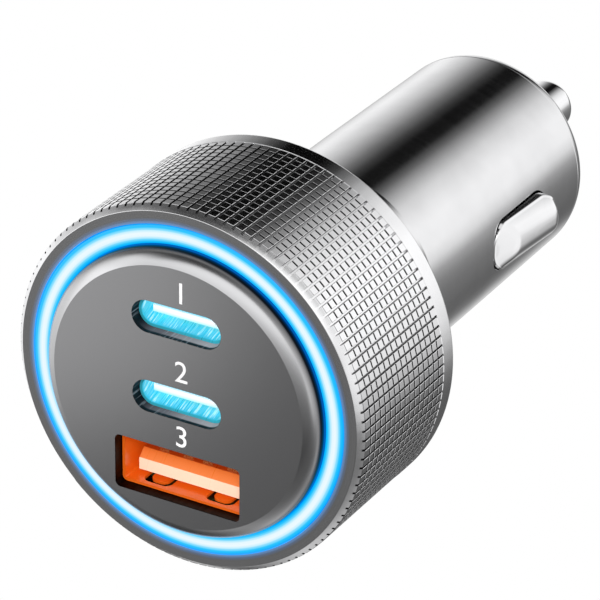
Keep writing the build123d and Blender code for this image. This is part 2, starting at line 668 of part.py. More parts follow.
# Main board: a long circuit board on the plug's middle plane, from the port board to the terminal
main_board_half = sqrt(SLEEVE_INNER**2 - HALF_BOARD**2) - RUN
main_board_shoulder = NOSE_TUBE_BACK - MAIN_BOARD_TAIL_SPARE
with BuildPart() as main_board:
    with BuildSketch(Plane.YZ.offset(-HALF_BOARD)):
        with Locations((PORT_BOARD_BACK, 0)):
            Rectangle(
                main_board_shoulder - PORT_BOARD_BACK, 2 * main_board_half, align=(Align.MIN, Align.CENTER)
            )
            Rectangle(TERMINAL_BACK - PORT_BOARD_BACK, MAIN_BOARD_TAIL_WIDTH, align=(Align.MIN, Align.CENTER))
    extrude(amount=BOARD_THICKNESS)
save(main_board, "main_board")

# Board pins: a row of header pins that joins the two boards
with BuildPart() as board_pins:
    with BuildSketch(facing(PORT_BOARD_BACK + PIN_LENGTH)):
        with Locations((HALF_BOARD + PIN_SIZE / 2, 0)):
            with GridLocations(0, PIN_PITCH, 1, PIN_COUNT):
                Rectangle(PIN_SIZE, PIN_SIZE)
    extrude(amount=PIN_LENGTH)
save(board_pins, "board_pins")

# Inductor: a ferrite drum standing on the main board, and the wire wound in its waist
with BuildPart() as inductor_core:
    with BuildSketch(Plane.YZ.offset(HALF_BOARD)):
        with Locations((INDUCTOR_Y, 0)):
            Circle(INDUCTOR_DIAMETER / 2)
    extrude(amount=INDUCTOR_CHEEK)
    with BuildSketch(Plane.YZ.offset(HALF_BOARD)):
        with Locations((INDUCTOR_Y, 0)):
            Circle(INDUCTOR_HUB_DIAMETER / 2)
    extrude(amount=INDUCTOR_HEIGHT)
    with BuildSketch(Plane.YZ.offset(HALF_BOARD + INDUCTOR_HEIGHT - INDUCTOR_CHEEK)):
        with Locations((INDUCTOR_Y, 0)):
            Circle(INDUCTOR_DIAMETER / 2)
    extrude(amount=INDUCTOR_CHEEK)
save(inductor_core, "inductor_core")

with BuildPart() as inductor_winding:
    with BuildSketch(Plane.YZ.offset(HALF_BOARD + INDUCTOR_CHEEK)):
        with Locations((INDUCTOR_Y, 0)):
            Circle(INDUCTOR_DIAMETER / 2 - RUN)
            Circle(INDUCTOR_HUB_DIAMETER / 2, mode=Mode.SUBTRACT)
    extrude(amount=INDUCTOR_HEIGHT - 2 * INDUCTOR_CHEEK)
save(inductor_winding, "inductor_winding")

# Capacitors: one can lies along each face of the main board
can_axis = HALF_BOARD + FIT + CAPACITOR_DIAMETER / 2
for can, side in (("input_capacitor", 1), ("output_capacitor", -1)):
    with BuildPart() as capacitor:
        with BuildSketch(facing(CAPACITOR_Y + CAPACITOR_LENGTH / 2)):
            with Locations((side * can_axis, side * CAPACITOR_Z)):
                Circle(CAPACITOR_DIAMETER / 2)
        extrude(amount=CAPACITOR_LENGTH)
        chamfer(capacitor.edges().filter_by(GeomType.CIRCLE), length=CAPACITOR_EDGE)
    save(capacitor, can)

# Control chips: flat packages on the rear face of the main board
with BuildPart() as control_chips:
    with BuildSketch(Plane.YZ.offset(-HALF_BOARD)):
        with Locations((INDUCTOR_Y, CHIP_SIZE), (INDUCTOR_Y, -CHIP_SIZE)):
            Rectangle(CHIP_SIZE, CHIP_SIZE)
    extrude(amount=-CHIP_HEIGHT)
save(control_chips, "control_chips")
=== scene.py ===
"""Looks of the car charger plug: a knurled head with a lit ring and three ports, on a chromed socket barrel.

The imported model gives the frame, in metres: the plug's axis is Y, the face looks towards -Y and +Z runs up
through the row of ports. Sizes below are in millimetres and become metres where a mesh is made.
"""

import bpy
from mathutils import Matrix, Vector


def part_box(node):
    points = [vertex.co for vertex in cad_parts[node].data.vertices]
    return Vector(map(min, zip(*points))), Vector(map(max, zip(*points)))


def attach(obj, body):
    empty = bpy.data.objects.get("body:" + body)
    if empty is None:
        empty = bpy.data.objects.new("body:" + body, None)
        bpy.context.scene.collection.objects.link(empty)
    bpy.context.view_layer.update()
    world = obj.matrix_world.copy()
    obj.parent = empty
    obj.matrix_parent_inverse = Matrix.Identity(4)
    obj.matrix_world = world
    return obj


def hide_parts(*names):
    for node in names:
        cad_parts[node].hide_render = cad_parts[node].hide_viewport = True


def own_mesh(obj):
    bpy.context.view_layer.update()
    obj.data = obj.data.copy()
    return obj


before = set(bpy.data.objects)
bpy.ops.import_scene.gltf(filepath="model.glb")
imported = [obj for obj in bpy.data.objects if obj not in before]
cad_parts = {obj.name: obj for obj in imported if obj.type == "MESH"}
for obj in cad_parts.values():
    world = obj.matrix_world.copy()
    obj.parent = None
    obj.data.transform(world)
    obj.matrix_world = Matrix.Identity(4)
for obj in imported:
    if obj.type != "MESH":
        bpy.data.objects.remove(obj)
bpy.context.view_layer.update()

import logging
import math
from collections.abc import Mapping, Sequence
from dataclasses import dataclass, field
from enum import Enum, IntEnum
from functools import cache
from typing import NamedTuple

import bmesh
import bpy
from mathutils import Matrix, Vector
from mathutils.geometry import delaunay_2d_cdt

LOG = logging.getLogger("charger_plug")
MM = 0.001
BODY = "plug_body"

Colour = tuple[float, float, float]
Point2 = tuple[float, float]
Point3 = tuple[float, float, float]
Stop = tuple[float, Colour]
Socket = bpy.types.NodeSocket
SocketOrValue = Socket | float | tuple[float, ...]

BLACK: Colour = (0.0, 0.0, 0.0)
WHITE: Colour = (1.0, 1.0, 1.0)


class Grain(Enum):
    """How the fine marks of a finish run over the plug."""

    TURNED = "rings round the axis"
    DRAWN = "lines along the axis"
    LEANING = "lines that lean across the depth of a port"
    EVEN = "no direction"


class Side(Enum):
    """Which side of the barrel a contact stands on, as the sign of its X."""

    RIGHT = 1
    LEFT = -1


class ShaderSheet:
    """Adds and links the nodes of one material or world.

    Attributes:
        noise_range: Values between which most of a noise lies.
        stretch: How finely a noise is read along the marks of a grain, against across them.
        lean: Direction across the marks of a leaning grain.
        tree: The tree that the nodes go into.
    """

    noise_range: Point2 = (0.3, 0.7)
    stretch: float = 0.04
    lean: Point3 = (1.0, 0.2, -0.25)

    def __init__(self, tree: bpy.types.NodeTree) -> None:
        """Keep the tree that the nodes go into."""
        self.tree = tree

    def feed(self, node: bpy.types.Node, inputs: Mapping[str | int, SocketOrValue]) -> bpy.types.Node:
        """Link sockets to a node's inputs, and set the inputs that are constant.

        Args:
            node: The node.
            inputs: Sockets or values, by the input's name or number.

        Returns:
            The same node.
        """
        for key, value in inputs.items():
            socket = node.inputs[key]
            if isinstance(value, Socket):
                self.tree.links.new(value, socket)
            else:
                socket.default_value = (*value, 1) if socket.type == "RGBA" else value
        return node

    def node(self, kind: str, inputs: Mapping[str | int, SocketOrValue] | None = None,
             **settings: object) -> bpy.types.Node:
        """Add a node.

        Args:
            kind: The node's Blender type name.
            inputs: Sockets or values for its inputs, by name or number.
            **settings: Properties set on the node itself.

        Returns:
            The new node.
        """
        node = self.tree.nodes.new(kind)
        for name, value in settings.items():
            setattr(node, name, value)
        return self.feed(node, inputs or {})

    def math(self, operation: str, *values: SocketOrValue) -> Socket:
        """Add a math node.

        Args:
            operation: The operation's Blender name.
            *values: Its inputs in order.

        Returns:
            The result's socket.
        """
        return self.node("ShaderNodeMath", dict(enumerate(values)), operation=operation).outputs[0]

    def ramp(self, factor: Socket, stops: Sequence[Stop], smooth: bool = True) -> Socket:
        """Add a colour ramp.

        Args:
            factor: The socket that drives it.
            stops: Places from 0 to 1 with their colours.
            smooth: Whether the colours ease into each other.

        Returns:
            The colour's socket.
        """
        node = self.node("ShaderNodeValToRGB", {0: factor})
        node.color_ramp.interpolation = "EASE" if smooth else "LINEAR"
        elements = node.color_ramp.elements
        elements[0].position, elements[0].color = stops[0][0], (*stops[0][1], 1)
        elements[1].position, elements[1].color = stops[-1][0], (*stops[-1][1], 1)
        for place, colour in stops[1:-1]:
            elements.new(place).color = (*colour, 1)
        return node.outputs[0]

    def span(self, value: Socket, low: float, high: float, to_low: float = 0, to_high: float = 1) -> Socket:
        """Map a value from one range to another, held at the ends.

        Args:
            value: The socket to map.
            low: Start of the old range.
            high: End of the old range.
            to_low: Start of the new range.
            to_high: End of the new range.

        Returns:
            The mapped socket.
        """
        inputs = {"Value": value, "From Min": low, "From Max": high, "To Min": to_low, "To Max": to_high}
        return self.node("ShaderNodeMapRange", inputs).outputs[0]

    def gloss(self, noise: Socket, roughness: Point2) -> Socket:
        """Map a noise to a roughness between the two given."""
        return self.span(noise, *self.noise_range, *roughness)

    def mix(self, factor: SocketOrValue, first: SocketOrValue, second: SocketOrValue) -> Socket:
        """Mix two colours.

        Args:
            factor: Share of the second colour.
            first: Colour or socket at 0.
            second: Colour or socket at 1.

        Returns:
            The mixed colour's socket.
        """
        return self.node("ShaderNodeMix", {0: factor, 6: first, 7: second}, data_type="RGBA").outputs[2]

    def bump(self, height: Socket, strength: float, distance: float) -> Socket:
        """Raise a surface by a pattern.

        Args:
            height: The pattern.
            strength: Weight of the relief.
            distance: Its height in millimetres.

        Returns:
            The socket of the surface's direction.
        """
        inputs = {"Height": height, "Strength": strength, "Distance": distance * MM}
        return self.node("ShaderNodeBump", inputs).outputs[0]

    def object_place(self) -> Socket:
        """Place in the frame, in metres."""
        return self.node("ShaderNodeTexCoord").outputs["Object"]

    def split(self, vector: Socket) -> tuple[Socket, ...]:
        """Parts of a vector along X, Y and Z."""
        return tuple(self.node("ShaderNodeSeparateXYZ", {0: vector}).outputs)

    def place(self) -> tuple[Socket, Socket]:
        """Distance from the plug's axis and place along it, in metres."""
        across, along, up = self.split(self.object_place())
        squares = [self.math("MULTIPLY", part, part) for part in (across, up)]
        return self.math("SQRT", self.math("ADD", *squares)), along

    def turn(self, vector: Socket) -> Socket:
        """Turn of a place or direction about the plug's axis, in radians from +Z towards +X."""
        across, _, up = self.split(vector)
        return self.math("ARCTAN2", across, up)

    def grain(self, grain: Grain, scale: float, detail: float = 3) -> Socket:
        """Add a noise whose marks run the way the piece was made.

        Args:
            grain: The direction of the marks.
            scale: Marks in a millimetre across their direction.
            detail: Octaves of the noise.

        Returns:
            The noise's value socket.
        """
        place = self.object_place()
        if grain is Grain.TURNED:
            turn = self.math("MULTIPLY", self.turn(place), self.stretch * MM)
            radius, along = self.place()
            place = self.node("ShaderNodeCombineXYZ", {0: radius, 1: along, 2: turn}).outputs[0]
        elif grain is Grain.DRAWN:
            place = self.node("ShaderNodeMapping", {0: place, 3: (1, self.stretch, 1)}).outputs[0]
        elif grain is Grain.LEANING:
            across = self.node("ShaderNodeVectorMath", {0: place, 1: self.lean}, operation="DOT_PRODUCT")
            shift = self.node("ShaderNodeCombineXYZ", {0: across.outputs["Value"]}).outputs[0]
            place = self.node("ShaderNodeMapping", {0: place, 3: (0, self.stretch, self.stretch)}).outputs[0]
            place = self.node("ShaderNodeVectorMath", {0: place, 1: shift}, operation="ADD").outputs[0]
        inputs = {"Vector": place, "Scale": scale / MM, "Detail": detail}
        return self.node("ShaderNodeTexNoise", inputs).outputs[0]


def new_material(name: str) -> tuple[bpy.types.Material, ShaderSheet, bpy.types.Node]:
    """Start a node material.

    Args:
        name: The material's name.

    Returns:
        The material, its sheet and its principled shader.
    """
    material = bpy.data.materials.new(name)
    material.use_nodes = True
    return material, ShaderSheet(material.node_tree), material.node_tree.nodes["Principled BSDF"]


@dataclass(frozen=True)
class SurfaceFinish:
    """A metal or moulded surface with fine marks in its colour, gloss and relief.

    Attributes:
        name: The material's name.
        colour: Its main colour.
        second: The colour that the patches bring in.
        metallic: 1 for metal and 0 for the rest.
        roughness: Roughness between and on the marks.
        grain: Direction of the marks.
        scale: Marks in a millimetre.
        relief: Height of the marks in millimetres.
        coat: Weight of a clear layer on top.
        glow: Strength of the surface's glow, of its own colour: light of a lamp for the lamp, painted light
            for any other finish.
        patch: Size of a patch of colour, in marks.
        patch_range: Values of the patches' noise where the second colour begins and where it is full.
    """

    name: str
    colour: Colour
    second: Colour
    metallic: float
    roughness: Point2
    grain: Grain = Grain.EVEN
    scale: float = 4.0
    relief: float = 0.002
    coat: float = 0.0
    glow: float = 0.0
    patch: float = 12.0
    patch_range: Point2 = (0.35, 0.65)

    def material(self) -> bpy.types.Material:
        """Build the node material.

        Returns:
            The material.
        """
        material, sheet, shader = new_material(self.name)
        marks = sheet.grain(self.grain, self.scale)
        patches = sheet.span(sheet.grain(Grain.EVEN, self.scale / self.patch, 2), *self.patch_range)
        colour = sheet.mix(patches, self.colour, self.second)
        sheet.feed(shader, {
            "Base Color": colour,
            "Metallic": self.metallic,
            "Roughness": sheet.gloss(marks, self.roughness),
            "Coat Weight": self.coat,
            "Normal": sheet.bump(marks, 0.5, self.relief),
        })
        # A glow on a finish other than the lamp is painted light.
        if self.glow:
            sheet.feed(shader, {"Emission Color": colour, "Emission Strength": self.glow})
        return material


@dataclass(frozen=True)
class RingGlow:
    """The lit ring: white along its middle, azure at its edges.

    Attributes:
        name: The material's name.
        inner: Inner radius of the ring in millimetres.
        outer: Outer radius of the ring in millimetres.
        unlit: Share of black in the ring's own colour, which its light outshines.
        roughness: Roughness between and on its faint clouds.
        stops: Colours from the inner edge to the outer one.
    """

    name: str
    inner: float
    outer: float
    unlit: float = 0.9
    roughness: Point2 = (0.3, 0.45)
    stops: tuple[Stop, ...] = (
        (0.0, (0.0, 0.12, 0.55)),
        (0.08, (0.0, 0.42, 0.92)),
        (0.16, (0.01, 0.5, 0.94)),
        (0.24, (0.12, 0.62, 0.96)),
        (0.33, (0.46, 0.77, 0.97)),
        (0.42, (0.72, 0.85, 0.97)),
        (0.55, (0.76, 0.86, 0.97)),
        (0.65, (0.58, 0.81, 0.96)),
        (0.75, (0.2, 0.66, 0.96)),
        (0.85, (0.01, 0.5, 0.94)),
        (0.94, (0.0, 0.42, 0.92)),
        (1.0, (0.0, 0.2, 0.7)),
    )

    def material(self) -> bpy.types.Material:
        """Build the node material.

        Returns:
            The material.
        """
        material, sheet, shader = new_material(self.name)
        radius, _ = sheet.place()
        colour = sheet.ramp(sheet.span(radius, self.inner * MM, self.outer * MM), self.stops)
        sheet.feed(shader, {
            "Base Color": sheet.mix(self.unlit, colour, BLACK),
            "Emission Color": colour,
            "Emission Strength": 1.0,
            "Roughness": sheet.gloss(sheet.grain(Grain.EVEN, 1.5), self.roughness),
        })
        return material


@dataclass(frozen=True)
class BezelFinish:
    """Turned bezel, with the blue of the lit ring painted along its inner edge as a glow.

    Attributes:
        name: The material's name.
        start: Radius of its inner edge in millimetres.
        colour: Colour of the metal.
        darkening: Share of that colour that is left on the turned marks.
        roughness: Roughness between and on those marks.
        reach: How far the painted blue glow reaches, in millimetres.
        stops: Colours of the painted blue glow over that reach.
    """

    name: str
    start: float
    colour: Colour = (0.9, 0.9, 0.91)
    darkening: float = 0.94
    roughness: Point2 = (0.16, 0.22)
    reach: float = 0.6
    stops: tuple[Stop, ...] = (
        (0.0, (0.03, 0.2, 0.5)), (0.25, (0.015, 0.12, 0.32)), (0.6, (0.0, 0.03, 0.09)), (1.0, BLACK),
    )

    def material(self) -> bpy.types.Material:
        """Build the node material.

        Returns:
            The material.
        """
        material, sheet, shader = new_material(self.name)
        radius, _ = sheet.place()
        rings = sheet.grain(Grain.TURNED, 6)
        darker = tuple(self.darkening * part for part in self.colour)
        # The blue on the bezel's inner edge is painted light: a glow that fades outwards.
        across = sheet.span(radius, self.start * MM, (self.start + self.reach) * MM)
        sheet.feed(shader, {
            "Base Color": sheet.mix(rings, self.colour, darker),
            "Metallic": 1,
            "Roughness": sheet.gloss(rings, self.roughness),
            "Emission Color": sheet.ramp(across, self.stops),
            "Emission Strength": 1.0,
        })
        return material


@dataclass(frozen=True)
class PlateFinish:
    """Satin metal of the raised plate, with painted shade that turns its steep side black, and the ring's
    blue painted at its foot as a glow.

    Attributes:
        name: The material's name.
        front: Place of the plate's front along the axis in millimetres.
        foot: Place of the ring's front along the axis in millimetres.
        radius: Radius of the plate in millimetres.
        colour: Colour of the metal.
        darkening: Share of that colour that is left on the satin's marks.
        roughness: Roughness between and on those marks.
        shade: Distance behind the front where the painted shade begins and where it is full, in millimetres.
        side: Colour of the steep side, painted shade.
        foot_reach: Distance from the foot where the painted blue glow begins and where it is full, in
            millimetres.
        rim_reach: The same from the plate's rim, so that the painted glow stays on the outside.
        spill: Colours of the painted blue glow as it grows.
    """

    name: str
    front: float
    foot: float
    radius: float
    colour: Colour = (0.54, 0.54, 0.55)
    darkening: float = 0.985
    roughness: Point2 = (0.22, 0.24)
    shade: Point2 = (0.55, 1.05)
    side: Colour = (0.008, 0.008, 0.01)
    foot_reach: Point2 = (-0.4, 0.02)
    rim_reach: Point2 = (-0.2, -0.1)
    spill: tuple[Stop, ...] = ((0.0, BLACK), (0.5, (0.0, 0.015, 0.07)), (1.0, (0.0, 0.1, 0.42)))

    def material(self) -> bpy.types.Material:
        """Build the node material.

        Returns:
            The material.
        """
        material, sheet, shader = new_material(self.name)
        radius, along = sheet.place()
        satin = sheet.grain(Grain.EVEN, 9)
        darker = tuple(self.darkening * part for part in self.colour)
        # The steep side turns black with depth behind the front: painted shade.
        behind = sheet.span(along, *((self.front + depth) * MM for depth in self.shade))
        # The ring's blue at the plate's foot is painted light, given as a glow.
        low_down = sheet.span(along, *((self.foot + reach) * MM for reach in self.foot_reach))
        outside = sheet.span(radius, *((self.radius + reach) * MM for reach in self.rim_reach))
        sheet.feed(shader, {
            "Base Color": sheet.mix(behind, sheet.mix(satin, self.colour, darker), self.side),
            "Metallic": 1,
            "Roughness": sheet.gloss(satin, self.roughness),
            "Emission Color": sheet.ramp(sheet.math("MULTIPLY", low_down, outside), self.spill),
            "Emission Strength": 1.0,
        })
        return material


@dataclass(frozen=True)
class DepthFinish:
    """Surface in a port, whose colour and glow change with depth as painted light and shade, with fine pale
    lines along the depth painted as sheen.

    Attributes:
        name: The material's name.
        plane: Place along the axis where the depth starts, in millimetres.
        depth: Depth that the colours run over, in millimetres.
        stops: Colours from the start inwards: painted light and shade.
        glow: Strength of the painted glow.
        metallic: 1 for metal and 0 for the rest.
        lines: Weight of the pale lines, painted sheen.
        lines_from: Share of the depth where the lines begin.
        lines_ease: Share of the depth over which they grow.
        line_stops: Paleness by the value of the lines' noise.
        line_colour: Colour of the pale lines.
        roughness: Roughness between and on the lines.
    """

    name: str
    plane: float
    depth: float
    stops: tuple[Stop, ...]
    glow: float
    metallic: float = 0.0
    lines: float = 0.0
    lines_from: float = 0.0
    lines_ease: float = 0.1
    line_stops: tuple[Stop, ...] = ((0.4, BLACK), (0.55, (0.2, 0.2, 0.2)), (0.64, WHITE))
    line_colour: Colour = (0.85, 0.98, 1.0)
    roughness: Point2 = (0.25, 0.45)

    def material(self) -> bpy.types.Material:
        """Build the node material.

        Returns:
            The material.
        """
        material, sheet, shader = new_material(self.name)
        _, along = sheet.place()
        inward = sheet.span(along, self.plane * MM, (self.plane + self.depth) * MM)
        # The colour by depth is painted light and shade; it also drives the painted glow.
        colour = sheet.ramp(inward, self.stops, smooth=False)
        lines = sheet.grain(Grain.LEANING, 7)
        # The pale lines are painted sheen.
        if self.lines:
            behind = sheet.span(inward, self.lines_from, self.lines_from + self.lines_ease, 0, self.lines)
            pale = sheet.math("MULTIPLY", sheet.ramp(lines, self.line_stops), behind)
            colour = sheet.mix(pale, colour, self.line_colour)
        sheet.feed(shader, {
            "Base Color": colour,
            "Emission Color": colour,
            "Emission Strength": self.glow,
            "Metallic": self.metallic,
            "Roughness": sheet.gloss(lines, self.roughness),
        })
        return material


@dataclass(frozen=True)
class TongueFinish:
    """Cyan moulding of a slim port, with a painted highlight in white along the upper part of its tongue's
    front and a paler front painted as lit.

    Attributes:
        name: The material's name.
        front: Place of the front along the axis, in millimetres.
        middles: Heights of the middles of both tongues, lower one first, in millimetres.
        rise: Height from a middle where the painted highlight begins and where it is full, in millimetres.
        fade: Distance behind the front where its painted lit colours begin to fade and where they end, in
            millimetres.
        colour: Colour behind the front.
        lower: Colour low on the front, painted as lit.
        upper: Colour high on the front, a painted highlight.
        glow: Strength of the painted glow.
        roughness: Roughness between and on the drawn marks.
    """

    name: str
    front: float
    middles: Point2
    rise: Point2 = (-0.35, 0.15)
    fade: Point2 = (0.1, 0.4)
    colour: Colour = (0.12, 0.65, 0.76)
    lower: Colour = (0.3, 0.82, 0.9)
    upper: Colour = (0.95, 0.99, 1.0)
    glow: float = 0.35
    roughness: Point2 = (0.25, 0.4)

    def material(self) -> bpy.types.Material:
        """Build the node material.

        Returns:
            The material.
        """
        material, sheet, shader = new_material(self.name)
        _, along, height = sheet.split(sheet.object_place())
        middle, half = self.middles[0], (self.middles[1] - self.middles[0]) / 2
        height = sheet.math("WRAP", height, (middle + half) * MM, (middle - half) * MM)
        # The white high on each tongue's front is a painted highlight, and the paler front is painted light.
        white = sheet.span(height, *((middle + rise) * MM for rise in self.rise))
        behind = sheet.span(along, *((self.front + depth) * MM for depth in self.fade))
        colour = sheet.mix(behind, sheet.mix(white, self.lower, self.upper), self.colour)
        sheet.feed(shader, {
            "Base Color": colour,
            "Emission Color": colour,
            "Emission Strength": self.glow,
            "Roughness": sheet.gloss(sheet.grain(Grain.DRAWN, 5.5), self.roughness),
        })
        return material


@dataclass(frozen=True)
class WindowFinish:
    """Wall of a slim window, painted black as shade, with fine pale lines along its depth and painted light
    low down, on the faces that look upwards.

    Attributes:
        name: The material's name.
        strip_start: Place along the axis where the painted light low down starts, in millimetres.
        half_width: Half the width of the window, in millimetres.
        strip_ease: Depth over which the strip grows, in millimetres.
        strip_slope: Upward share of the wall's direction where the painted light begins and where it is full.
        wall: Colour of the wall, painted shade.
        line_range: Values of the lines' noise where a line begins and where it is full.
        lines: Weight of the pale lines.
        line_colour: Colour of the pale lines.
        glow: Strength of the painted glow.
        shine: Strength of its reflections.
        roughness: Roughness between and on the lines.
        strip: Colours of the painted light from the window's left to its right, with a painted highlight at
            the right.
    """

    name: str
    strip_start: float
    half_width: float
    strip_ease: float = 0.15
    strip_slope: Point2 = (0.6, 0.97)
    wall: Colour = (0.003, 0.003, 0.005)
    line_range: Point2 = (0.58, 0.68)
    lines: float = 0.35
    line_colour: Colour = (0.45, 0.5, 0.55)
    glow: float = 0.2
    shine: float = 0.1
    roughness: Point2 = (0.3, 0.5)
    strip: tuple[Stop, ...] = (
        (0.0, (0.01, 0.01, 0.015)), (0.25, (0.12, 0.1, 0.11)), (0.6, (0.3, 0.26, 0.27)),
        (0.88, (0.42, 0.37, 0.38)), (1.0, (0.9, 0.88, 0.88)),
    )

    def material(self) -> bpy.types.Material:
        """Build the node material.

        Returns:
            The material.
        """
        material, sheet, shader = new_material(self.name)
        across, along, _ = sheet.split(sheet.object_place())
        # Faces that look upwards are painted paler, brightest at the window's right: painted light and a
        # painted highlight.
        _, _, upward = sheet.split(sheet.node("ShaderNodeNewGeometry").outputs["Normal"])
        behind = sheet.span(along, self.strip_start * MM, (self.strip_start + self.strip_ease) * MM)
        in_strip = sheet.math("MULTIPLY", sheet.span(upward, *self.strip_slope), behind)
        strip = sheet.ramp(sheet.span(across, -self.half_width * MM, self.half_width * MM), self.strip)
        lines = sheet.grain(Grain.DRAWN, 5.5)
        pale = sheet.span(lines, *self.line_range, 0, self.lines)
        colour = sheet.mix(pale, sheet.mix(in_strip, self.wall, strip), self.line_colour)
        sheet.feed(shader, {
            "Base Color": colour,
            "Emission Color": colour,
            "Emission Strength": self.glow,
            "Specular IOR Level": self.shine,
            "Roughness": sheet.gloss(lines, self.roughness),
        })
        return material


@dataclass(frozen=True)
class BoardFinish:
    """Solder mask with copper tracks that shine through it.

    Attributes:
        name: The material's name.
        mask: Colour of the mask.
        track: Colour over a track.
        pitch: Tracks in a millimetre.
        edge: Values of the wave where a track begins and where it is full.
        relief: Height of a track in millimetres.
        roughness: Roughness between and on faint clouds.
    """

    name: str
    mask: Colour = (0.01, 0.07, 0.035)
    track: Colour = (0.03, 0.16, 0.07)
    pitch: float = 0.9
    edge: Point2 = (0.55, 0.6)
    relief: float = 0.03
    roughness: Point2 = (0.25, 0.4)

    def material(self) -> bpy.types.Material:
        """Build the node material.

        Returns:
            The material.
        """
        material, sheet, shader = new_material(self.name)
        inputs = {"Vector": sheet.object_place(), "Scale": self.pitch / MM, "Distortion": 2.0, "Detail": 0.0}
        on_track = sheet.span(sheet.node("ShaderNodeTexWave", inputs).outputs["Fac"], *self.edge)
        sheet.feed(shader, {
            "Base Color": sheet.mix(on_track, self.mask, self.track),
            "Roughness": sheet.gloss(sheet.grain(Grain.EVEN, 3), self.roughness),
            "Normal": sheet.bump(on_track, 0.6, self.relief),
        })
        return material


@dataclass(frozen=True)
class WireFinish:
    """Enamelled wire wound in close turns about an axis along X, with painted shade between the turns.

    Attributes:
        name: The material's name.
        colour: Colour on a turn.
        groove: Colour between turns, painted shade.
        density: Scale of the wave that draws the turns, for a millimetre.
        relief: Height of a turn in millimetres.
    """

    name: str
    colour: Colour = (0.6, 0.22, 0.07)
    groove: Colour = (0.12, 0.03, 0.01)
    density: float = 0.6875
    relief: float = 0.15

    def material(self) -> bpy.types.Material:
        """Build the node material.

        Returns:
            The material.
        """
        material, sheet, shader = new_material(self.name)
        inputs = {"Vector": sheet.object_place(), "Scale": self.density / MM, "Distortion": 0.3}
        turns = sheet.node("ShaderNodeTexWave", inputs, bands_direction="X").outputs["Fac"]
        # The dark colour between the turns is painted shade.
        sheet.feed(shader, {
            "Base Color": sheet.mix(turns, self.groove, self.colour),
            "Metallic": 0.8,
            "Roughness": 0.3,
            "Normal": sheet.bump(turns, 1.0, self.relief),
        })
        return material


def arc(centre: Point2, radius: float, start: float, end: float, steps: int) -> list[Point2]:
    """Points of an arc in the plane of radius and axis.

    Args:
        centre: Its centre, as a distance from the axis and a place along it.
        radius: Its radius.
        start: Start angle in degrees, from the outward direction towards +Y.
        end: End angle in degrees.
        steps: Number of spans.

    Returns:
        The points from start to end.
    """
    angles = [math.radians(start + (end - start) * step / steps) for step in range(steps + 1)]
    return [(centre[0] + radius * math.cos(a), centre[1] + radius * math.sin(a)) for a in angles]


def rounded_loop(width: float, height: float, corner: float, centre: Point2, steps: int = 8) -> list[Point2]:
    """Outline of a rectangle with rounded corners, in the plane of the face.

    Args:
        width: Size along X.
        height: Size along Z.
        corner: Radius of the corners.
        centre: Place of the middle.
        steps: Spans in each corner.

    Returns:
        Its points, counter-clockwise as seen from the front.
    """
    loop: list[Point2] = []
    across, up = width / 2 - corner, height / 2 - corner
    for turn, (side, top) in enumerate(((1, -1), (1, 1), (-1, 1), (-1, -1))):
        middle = (centre[0] + side * across, centre[1] + top * up)
        loop += arc(middle, corner, 90 * turn - 90, 90 * turn, steps)
    return loop


def new_object(name: str, data: bpy.types.ID) -> bpy.types.Object:
    """Add an object to the scene.

    Args:
        name: Its name.
        data: Its mesh, curve, light or camera.

    Returns:
        The object.
    """
    added = bpy.data.objects.new(name, data)
    bpy.context.scene.collection.objects.link(added)
    return added


def finished_mesh(source: bpy.types.Object) -> bpy.types.Mesh:
    """Mesh of an object as its modifiers or its letters make it."""
    bpy.context.view_layer.update()
    return bpy.data.meshes.new_from_object(source.evaluated_get(bpy.context.evaluated_depsgraph_get()))


def apply_modifiers(piece: bpy.types.Object) -> None:
    """Make the result of a piece's modifiers its own mesh."""
    mesh = finished_mesh(piece)
    piece.modifiers.clear()
    piece.data = mesh


